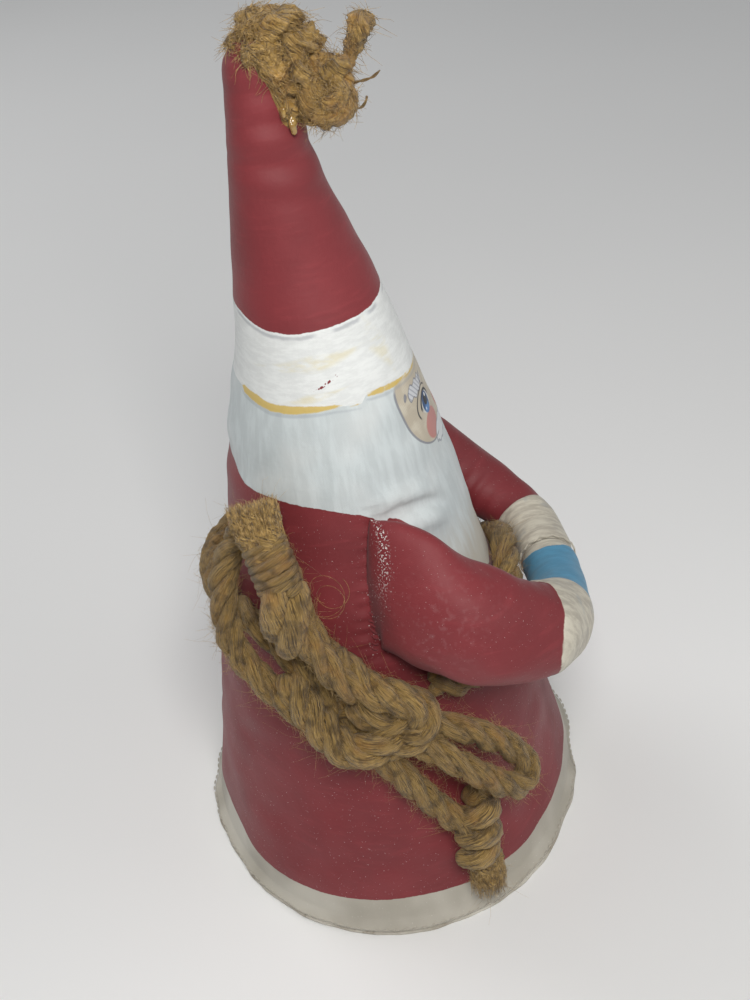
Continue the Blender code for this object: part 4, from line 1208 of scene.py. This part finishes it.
def add_left_end(finish, hair_finish, path):
    """Knotted lobe, thin whipping and cut brush of the left tail."""
    run = run_of(path)
    whipped = path[(run > 0.0300) & (run < 0.0415)]
    tuft = path[run > 0.0370]
    shape = Shape()
    laid_strand(shape, [(114.2, 100.5, 10.6), (113.3, 97.0, 12.2), (112.9, 93.4, 12.8), (113.4, 89.6, 12.4),
                        (113.6, 86.6, 10.4)], 0.0098, 71, lay=0.040, count=3, plump=1.25)
    laid_strand(shape, [(108.5, 97.5, 10.6), (110.5, 92.5, 12.6), (114.5, 90.6, 12.6), (118.0, 93.6, 10.4)],
                0.0050, 73, lay=0.03)
    wound(shape, whipped, 0.0040, 0.0021, 6.6, outward(whipped), 72, start=0.7)
    knot, _ = shape.build("left_end_knot", finish)
    place(knot, "left_tail", "jute", "left_tail_knot")
    brush_base = cut_end(Shape(), tuft, 0.0041, 0.0051, 74)
    tuft_piece, _ = brush_base.build("left_end_brush", finish)
    place(tuft_piece, "left_tail", "jute", "left_tail_tuft")
    combed = brush(Shape(), tuft, 0.0043, 0.0053, 1500, 76, thick=0.00016)
    combed, _ = combed.build("left_brush_fibres", hair_finish)
    place(combed, "left_tail", "jute")
    return knot, tuft_piece, combed


def add_right_end(finish, hair_finish, path):
    """Wrapped knot and frayed end of the right tail."""
    run = run_of(path)
    tuft = path[run > 0.0370]
    barrel = rope_path([(70.6, 36.4, 6.6), (71.7, 32.4, 7.2), (73.2, 27.6, 7.4), (74.6, 22.8, 6.6)], 0.0004)
    shape = Shape()
    lump(shape, on_cloth([[72.6, 29.5, 7.0]])[0], (0.0040, 0.0056, 0.0040), cloth_axes(74, 30), 0.004, 81)
    wound(shape, barrel, 0.0031, 0.0049, 2.9, outward(barrel), 82, start=2.6, sides=18)
    knot, _ = shape.build("right_end_knot", finish)
    place(knot, "right_tail", "jute", "right_tail_knot")
    tuft_piece, _ = cut_end(Shape(), tuft, 0.0034, 0.0037, 85, 0.12).build("right_end_fray", finish)
    place(tuft_piece, "right_tail", "jute", "right_tail_tuft")
    combed = brush(Shape(), tuft, 0.0035, 0.0043, 700, 87, over=0.002, thick=0.00015)
    combed, _ = combed.build("right_fray_fibres", hair_finish)
    place(combed, "right_tail", "jute")
    return knot, tuft_piece, combed


def add_fuzz(name, body, finish, *parts):
    """One piece of stray fibres for all the rope of one body: many short ones, a few long."""
    shape = Shape()
    for path, per_mm, seed, diameter in parts:
        rope_fuzz(shape, path, diameter, per_mm, seed, (0.0015, 0.0042), 0.22, 0.00010)
        rope_fuzz(shape, path, diameter * 0.95, per_mm * 0.16, seed + 20, (0.004, 0.010), 0.5, 0.00007)
    piece, _ = shape.build(name, finish)
    return place(piece, body, "jute")


def add_curls(finish):
    """Long single fibres that spring off the rope and coil over the coat: each circles a spot on
    the cloth, drifting up and sinking onto it."""
    shape = Shape()
    for (angle, height, stand), radius, turns, seed in CURLS:
        t = np.linspace(0, 1, 40)
        spin = math.tau * turns * t + seed
        places = np.stack([
            angle - 1.6 * radius * np.cos(spin) - 3 * t,
            height + radius * np.sin(spin) + 2 * t,
            stand - 2.2 * t,
        ], axis=-1)
        line = on_cloth(places)[None]
        shape.add(sweep(line, np.full(line.shape[:-1], CURL_RADIUS), 4, outward(line)))
    piece, _ = shape.build("sprung_fibres", finish)
    place(piece, "torso", "jute")


# ---- tassel -------------------------------------------------------------------------
MAT_EDGE = [
    (-180, 199.0), (-150, 198.5), (-100, 195), (-60, 189), (-25, 185), (0, 182.8), (24, 182.6),
    (52, 183.2), (59, 185.4), (67, 190.2), (87, 195.2), (131, 199.2), (180, 199.0),
]
BALL = np.array([-0.0040, -0.0099, 0.1871])
LEVEL = np.eye(3)

# Wads in the mat, and lumps of the knot: middle and half-sizes. A lump's middle is from BALL.
MAT_WADS = [
    ((-0.0008, -0.0030, 0.2010), (0.0034, 0.0050, 0.0026)),
    ((-0.0016, -0.0066, 0.1962), (0.0040, 0.0042, 0.0044)),
    ((-0.0022, -0.0078, 0.1905), (0.0034, 0.0030, 0.0052)),
    ((0.0014, 0.0012, 0.2018), (0.0030, 0.0030, 0.0020)),
]
BALL_LUMPS = [
    ((0.0004, 0.0042, 0.0050), (0.0034, 0.0036, 0.0034)),
    ((0.0002, -0.0020, 0.0044), (0.0032, 0.0034, 0.0036)),
]

# Loose ends, in millimetres: the fat one that stands up, and the two thin ones.
UPPER_END = [(-2.0, -13.2, 190.0), (-1.6, -15.4, 193.2), (-1.3, -17.0, 196.0), (-1.1, -18.4, 198.6),
             (-1.1, -19.2, 200.8)]
THIN_ENDS = [
    [(-1.8, -15.0, 188.2), (-1.6, -17.2, 188.3), (-1.5, -19.2, 188.6), (-1.4, -20.8, 189.6)],
    [(-2.2, -14.8, 183.6), (-2.0, -16.2, 183.4), (-1.8, -17.2, 184.2), (-1.7, -17.7, 185.4)],
]

# Glue drops at the mat's edge: angle, height, standoff, half-width and half-length.
GLUE_DROPS = [(52, 184.2, 1.8, 0.9, 1.9), (62, 187.4, 1.8, 0.5, 1.1)]
GLUE_DEPTH = 0.7


def mat_shell():
    """A pad hugging the hat's tip: rows rise from its slanting edge over the tip to a pole."""
    rows, cols = 90, 120
    share = np.linspace(0, 1, rows)[:, None]
    angle = np.linspace(-180, 180, cols, endpoint=False)[None]
    known, low = np.array(MAT_EDGE).T
    edge = np.interp(angle, known, low)
    edge = edge + 0.5 * np.cos(np.radians(angle * 9)) + 0.4 * np.sin(np.radians(angle * 17))
    front = np.exp(-(angle / 75) ** 2)
    rise = np.clip(share / 0.12, 0, 1) ** 0.5
    full = 0.7 + 0.8 * front + 1.5 * front * np.clip((share - 0.1) / 0.5, 0, 1)
    thick = rise * full - 0.4 * (1 - rise)
    over = np.clip((share - 0.72) / 0.28, 0, 1)
    height = edge + (200.2 - edge) * np.minimum(share / 0.72, 1) + 1.9 * np.sin(over * math.pi / 2)
    out = thick * np.sqrt(np.clip(1 - over ** 2, 0.001, 1)) + 0 * angle
    grid = round_body(np.radians(angle) + 0 * share, height * MM, out * MM)
    grid = grid + 0.00045 * unit(grid - [0, 0, 0.192]) * (
        ripple(grid, 0.0035, 101) + 0.6 * ripple(grid, 0.0013, 102))[..., None] * rise[..., None]
    return grid[None]


def bun(shape, middle, pole, radius, wire, turns, seed):
    """A fat strand coiled from a pole down over a ball, like a bun."""
    pole = unit(np.asarray(pole, float))
    side = unit(np.cross(pole, [0.0, 0.3, 1.0]))
    other = np.cross(pole, side)
    t = np.linspace(0, 1, 260)[:, None]
    tilt = 0.30 + 1.75 * t
    turn = math.tau * turns * t + seed
    around = np.cos(turn) * side + np.sin(turn) * other
    line = middle + radius * (np.cos(tilt) * pole + np.sin(tilt) * around)
    thick = round_ends(line[None], wire / 2) * (0.72 + 0.28 * t[None, :, 0])
    grid = sweep(line[None], thick, 26, unit(line - middle)[None], 1.25)
    core = grid.mean(axis=2, keepdims=True)
    rough = 0.09 * ripple(grid, 0.0030, seed) + 0.04 * ripple(grid, 0.0010, seed + 1)
    return shape.add(core + (grid - core) * (1 + rough[..., None]))


def matted(points, middle, toward, count, length, seed, body, name, finish, spread=0.8, stand=0.3):
    """Short fibres lying every way over a surface, most of them along one heading."""
    rng = np.random.default_rng(seed)
    root = points[rng.integers(0, len(points), count)] + rng.normal(size=(count, 3)) * 0.00012
    away = unit(root - middle)
    heading = unit(np.asarray(toward) + rng.normal(size=root.shape) * spread)
    along = heading - away * (heading * away).sum(-1, keepdims=True) * 0.8
    heading = unit(along + away * stand * rng.uniform(0, 1, (count, 1)))
    lift = rng.normal(size=root.shape) * 0.25
    size = rng.uniform(*length, count)
    piece, _ = hairs(Shape(), root, heading, lift, size, 0.00012, rng, curl=0.22).build(name, finish)
    return place(piece, body, "jute")


def add_tassel_mat(finish, hair_finish):
    """The frayed jute glued round the hat's tip, with wads under its fibres."""
    mat = Shape().add(mat_shell())
    for number, (middle, radii) in enumerate(MAT_WADS):
        lump(mat, middle, radii, LEVEL, 0.0030, 101 + number, 0.14, 40, 56)
    piece, points = mat.build("tassel_mat", finish)
    place(piece, "torso", "jute", "tassel_band")
    matted(points, np.array([-0.0005, -0.001, 0.190]), (-0.15, -0.55, -0.75), 3600, (0.0014, 0.0040), 120,
           "torso", "tassel_mat_fibres", hair_finish, 0.7, 0.12)


def add_tassel_knot(finish, hair_finish):
    """The wound lump in front of the mat, and the fat end that stands up out of it."""
    knot = Shape()
    lump(knot, BALL, (0.0043, 0.0040, 0.0050), LEVEL, 0.004, 131)
    bun(knot, BALL, (-0.80, -0.10, 0.58), 0.0040, 0.0042, 2.1, 132)
    for number, (middle, radii) in enumerate(BALL_LUMPS):
        lump(knot, BALL + middle, radii, LEVEL, 0.003, 133 + number, 0.14)
    piece, knot_points = knot.build("tassel_lump", finish)
    place(piece, "tassel", "jute", "tassel_knot")

    path = smooth_path(np.array(UPPER_END) * MM, 0.0003)
    share = np.linspace(0, 1, len(path))
    radius = 0.0015 + 0.0010 * np.exp(-((share - 0.78) / 0.22) ** 2)
    dome = np.sqrt(np.clip(1 - np.clip((share - 0.9) / 0.1, 0, 1) ** 2, 0.03, 1))
    grid = sweep(path[None], (radius * dome)[None], 32, np.broadcast_to([1.0, 0, 0], path.shape)[None])
    core = grid.mean(axis=2, keepdims=True)
    rough = 0.12 * ripple(grid, 0.003, 151) + 0.05 * ripple(grid, 0.001, 152)
    stub = Shape().add(core + (grid - core) * (1 + rough[..., None]))
    piece, stub_points = stub.build("tassel_upper_stub", finish)
    place(piece, "tassel", "jute", "tassel_upper_end")
    matted(np.concatenate([knot_points, stub_points]), BALL, (0.0, 0.0, -0.3), 1500, (0.0012, 0.0040), 153,
           "tassel", "tassel_lump_fibres", hair_finish, 1.0)


def add_tassel_thin_ends(finish):
    """Two thin twisted ends that stick out of the knot."""
    shape = Shape()
    for number, line in enumerate(THIN_ENDS):
        path = smooth_path(np.array(line) * MM, 0.0003)
        reference = np.broadcast_to([1.0, 0, 0], path.shape)
        strands(shape, path, reference, 0.0006, 0.004, 8, number, 2, 1.1, 152)
    piece, _ = shape.build("tassel_lower_spike", finish)
    place(piece, "tassel", "jute", "tassel_lower_end")


def add_glue_drops(glue):
    """Flat drops of glue on the cloth at the mat's lower edge."""
    drops = Shape()
    for number, (angle, height, stand, wide, long) in enumerate(GLUE_DROPS):
        lump(drops, on_cloth([[angle, height, stand]])[0], np.array([wide, long, GLUE_DEPTH]) * MM,
             cloth_axes(angle, height), 0.002, 160 + number, 0.12, 18, 24)
    piece, _ = drops.build("tassel_glue_drops", glue)
    place(piece, "torso", "glue", "glue_dab_front", "glue_dab_side")


# ---- settings -------------------------------------------------------------------------
def colour_property(name, description, default):
    return bpy.props.FloatVectorProperty(
        name=name, description=description, default=default, size=3, subtype="COLOR", min=0.0, max=1.0)


class GnomePaint(bpy.types.PropertyGroup):
    """Colours of the paint and the rope."""
    coat: colour_property("Coat", "Brick red of the coat, sleeves and hat", (0.220, 0.024, 0.030))
    beard: colour_property("Beard", "Cool white of the beard", (0.60, 0.655, 0.665))
    band: colour_property("Hat band", "White of the hat's band", (0.78, 0.80, 0.79))
    ochre: colour_property("Ochre line", "Yellow line under the hat's band", (0.62, 0.44, 0.10))
    face: colour_property("Face", "Bare cream cloth of the face", (0.62, 0.57, 0.46))
    cheek: colour_property("Cheek", "Rose of the cheeks and nose", (0.52, 0.20, 0.18))
    cuff: colour_property("Cuff", "Cream of the cuffs", (0.62, 0.58, 0.48))
    mitten: colour_property("Mitten", "Blue of the mittens", (0.085, 0.30, 0.48))
    jute: colour_property("Jute", "Middle tone of the rope", (0.365, 0.228, 0.064))


class GnomeRope(bpy.types.PropertyGroup):
    """How the rope is laid."""
    lay: bpy.props.FloatProperty(
        name="Rope lay", description="Length in which a strand goes once round the rope",
        default=0.021, min=0.010, max=0.060, unit="LENGTH")
    fuzz: bpy.props.FloatProperty(
        name="Stray fibres", description="Stray fibres on each millimetre of rope",
        default=15.0, min=0.0, max=20.0)


class PieceMaker:
    """What the gnome's operators share."""
    bl_options = {"REGISTER", "UNDO"}


class GNOME_OT_body(PieceMaker, bpy.types.Operator):
    """Make the painted body and the cloth panel that closes its base"""
    bl_idname = "gnome.body"
    bl_label = "Painted body and base"

    def execute(self, context):
        add_body(context.scene.gnome_paint)
        add_base()
        add_base_stitches()
        return {"FINISHED"}


class GNOME_OT_sleeves(PieceMaker, bpy.types.Operator):
    """Make both stuffed sleeves and their shoulder stitches"""
    bl_idname = "gnome.sleeves"
    bl_label = "Sleeves and stitches"

    def execute(self, context):
        paint = context.scene.gnome_paint
        cloth = painted_sleeve(paint)
        belt = rope_path(BELT_ROUTE)
        add_sleeve("right", RIGHT_ARM, cloth, belt)
        add_sleeve("left", LEFT_ARM, cloth, belt)
        thread = sewing_thread("painted_thread", tuple(paint.coat), (0.75, 0.72, 0.68))
        add_shoulder_stitches("right", 1, thread)
        add_shoulder_stitches("left", -1, thread)
        return {"FINISHED"}


class GNOME_OT_rope(PieceMaker, bpy.types.Operator):
    """Make the belt and its bow: knot, loops, tails, their ends and the stray fibres"""
    bl_idname = "gnome.rope"
    bl_label = "Rope belt and bow"

    def execute(self, context):
        paint, rope = context.scene.gnome_paint, context.scene.gnome_rope
        finish, hair = jute(paint), fibre_hair(paint)
        belt = rope_path(BELT_INTO_KNOT + BELT_ROUTE)
        add_belt(finish, belt, rope.lay)
        add_bow_knot(finish)
        cords = {}
        for side, route, (start, end), seed in (("right", RIGHT_LOOP_ROUTE, RIGHT_LOOP_ENDS, 52),
                                                ("left", LEFT_LOOP_ROUTE, LEFT_LOOP_ENDS, 53)):
            cords[f"{side}_loop"] = add_loop(side, start + route + end, finish, rope.lay, seed)
        for side, route, seed in (("right", RIGHT_TAIL_ROUTE, 54), ("left", LEFT_TAIL_ROUTE, 55)):
            cords[f"{side}_tail"] = add_tail(side, route, finish, rope.lay, seed)
        ends = {
            "right_tail": add_right_end(finish, hair, cords["right_tail"][1]),
            "left_tail": add_left_end(finish, hair, cords["left_tail"][1]),
        }
        low_wrap, high_wrap = rope_path(LOW_WRAP), rope_path(HIGH_WRAP)
        add_fuzz("belt_fibres", "torso", hair, (belt, rope.fuzz * 0.7, 161, ROPE),
                 (low_wrap, rope.fuzz * 1.6, 162, 0.0078), (high_wrap, rope.fuzz * 1.6, 163, 0.0074))
        for seed, (name, (piece, path)) in enumerate(cords.items()):
            fuzz = add_fuzz(f"{name}_fibres", name, hair, (path, rope.fuzz * 1.5, 170 + seed, ROPE))
            far_end, lay = ("knot", "hanging") if "tail" in name else ("object", "loose")
            declare_cord(path)
        add_curls(hair)
        return {"FINISHED"}


class GNOME_OT_tassel(PieceMaker, bpy.types.Operator):
    """Make the frayed jute tassel on the hat's tip"""
    bl_idname = "gnome.tassel"
    bl_label = "Hat tassel"

    def execute(self, context):
        paint = context.scene.gnome_paint
        finish, hair = jute(paint, "tassel_jute", 1.1), fibre_hair(paint)
        add_tassel_mat(finish, hair)
        add_tassel_knot(finish, hair)
        add_tassel_thin_ends(finish)
        add_glue_drops(glue_finish())
        return {"FINISHED"}


class GNOME_OT_inner(PieceMaker, bpy.types.Operator):
    """Give the filling, card, pouch and mitten thread their finishes"""
    bl_idname = "gnome.inner"
    bl_label = "Filling, card and pouch"

    def execute(self, context):
        filling = filling_finish()
        finishes = {
            "body_stuffing": filling, "right_arm_stuffing": filling, "left_arm_stuffing": filling,
            "base_card": card_finish(), "weight_bag": pouch_finish(),
            "mitten_thread": sewing_thread("mitten_thread", tuple(context.scene.gnome_paint.cuff)),
        }
        for name, finish in finishes.items():
            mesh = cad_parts[name].data
            mesh.materials.clear()
            mesh.materials.append(finish)
        return {"FINISHED"}


# Lights: name, place, aim, size, power and colour.
LIGHTS = [
    ("key_light", (-0.28, -0.03, 0.40), (0, 0, 0.12), 0.12, 1.2, (1.0, 0.98, 0.95)),
    ("front_light", (-0.25, -0.75, 0.55), (0, 0, 0.08), 0.5, 1.0, (1, 1, 1)),
    ("back_light", (0.55, 0.45, 0.70), (0, 0, 0.08), 0.5, 2.3, (1, 1, 1)),
]
FLOOR_REACH = 4.0
CAMERA_PLACE = (-0.2432, 0.0, 0.2784)
CAMERA_FORWARD = (0.789, -0.0215, -0.614)
CAMERA_ROLL = 9.54
SENSOR_HEIGHT = 24.0
LENS = 31.73


def area_light(name, place, aim, size, power, colour):
    """A square soft light at a place, facing the aim."""
    data = bpy.data.lights.new(name, "AREA")
    data.size, data.energy, data.color = size, power, colour
    light = bpy.data.objects.new(name, data)
    bpy.context.scene.collection.objects.link(light)
    toward = Vector(aim) - Vector(place)
    light.matrix_world = Matrix.Translation(place) @ toward.to_track_quat("-Z", "Y").to_matrix().to_4x4()
    return light


class GNOME_OT_stage(PieceMaker, bpy.types.Operator):
    """Set up the floor, the lights and the camera"""
    bl_idname = "gnome.stage"
    bl_label = "Stage, lights and camera"

    def execute(self, context):
        scene = context.scene
        floor_mesh = bpy.data.meshes.new("studio_floor")
        reach = FLOOR_REACH
        corners = [(-reach, -reach, 0), (reach, -reach, 0), (reach, reach, 0), (-reach, reach, 0)]
        floor_mesh.from_pydata(corners, [], [(0, 1, 2, 3)])
        floor_mesh.materials.append(floor_finish())
        floor = bpy.data.objects.new("studio_floor", floor_mesh)
        scene.collection.objects.link(floor)
        world = bpy.data.worlds.new("studio_world")
        world.use_nodes = True
        sky = world.node_tree.nodes["Background"]
        sky.inputs["Color"].default_value = (0.96, 0.98, 1.0, 1.0)
        sky.inputs["Strength"].default_value = 0.24
        scene.world = world
        scene.view_settings.view_transform = "Standard"
        for light in LIGHTS:
            area_light(*light)
        data = bpy.data.cameras.new("studio_camera")
        data.sensor_fit, data.sensor_height, data.lens = "VERTICAL", SENSOR_HEIGHT, LENS
        data.clip_start, data.clip_end = 0.01, 20.0
        camera = bpy.data.objects.new("studio_camera", data)
        scene.collection.objects.link(camera)
        forward = Vector(CAMERA_FORWARD).normalized()
        level = forward.cross(Vector((0, 0, 1))).normalized()
        above = level.cross(forward)
        roll = math.radians(CAMERA_ROLL)
        right = level * math.cos(roll) - above * math.sin(roll)
        up = level * math.sin(roll) + above * math.cos(roll)
        turn = Matrix((right, up, -forward)).transposed().to_4x4()
        camera.matrix_world = Matrix.Translation(CAMERA_PLACE) @ turn
        scene.camera = camera
        return {"FINISHED"}


class GNOME_PT_pieces(bpy.types.Panel):
    """The gnome's pieces and colours"""
    bl_label = "Painted Cloth Gnome"
    bl_space_type = "VIEW_3D"
    bl_region_type = "UI"
    bl_category = "Gnome"

    def draw(self, context):
        column = self.layout.column()
        for name in GnomePaint.__annotations__:
            column.prop(context.scene.gnome_paint, name)
        for name in GnomeRope.__annotations__:
            column.prop(context.scene.gnome_rope, name)
        for maker in MAKERS:
            column.operator(maker.bl_idname)


MAKERS = (GNOME_OT_body, GNOME_OT_sleeves, GNOME_OT_rope, GNOME_OT_tassel, GNOME_OT_inner, GNOME_OT_stage)
CLASSES = (GnomePaint, GnomeRope, *MAKERS, GNOME_PT_pieces)


def register():
    for made in CLASSES:
        bpy.utils.register_class(made)
    bpy.types.Scene.gnome_paint = bpy.props.PointerProperty(type=GnomePaint)
    bpy.types.Scene.gnome_rope = bpy.props.PointerProperty(type=GnomeRope)


def unregister():
    del bpy.types.Scene.gnome_rope
    del bpy.types.Scene.gnome_paint
    for made in reversed(CLASSES):
        bpy.utils.unregister_class(made)


def main():
    """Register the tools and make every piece."""
    register()
    for maker in MAKERS:
        group, name = maker.bl_idname.split(".")
        getattr(getattr(bpy.ops, group), name)()
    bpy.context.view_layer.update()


if __name__ == "__main__":
    main()
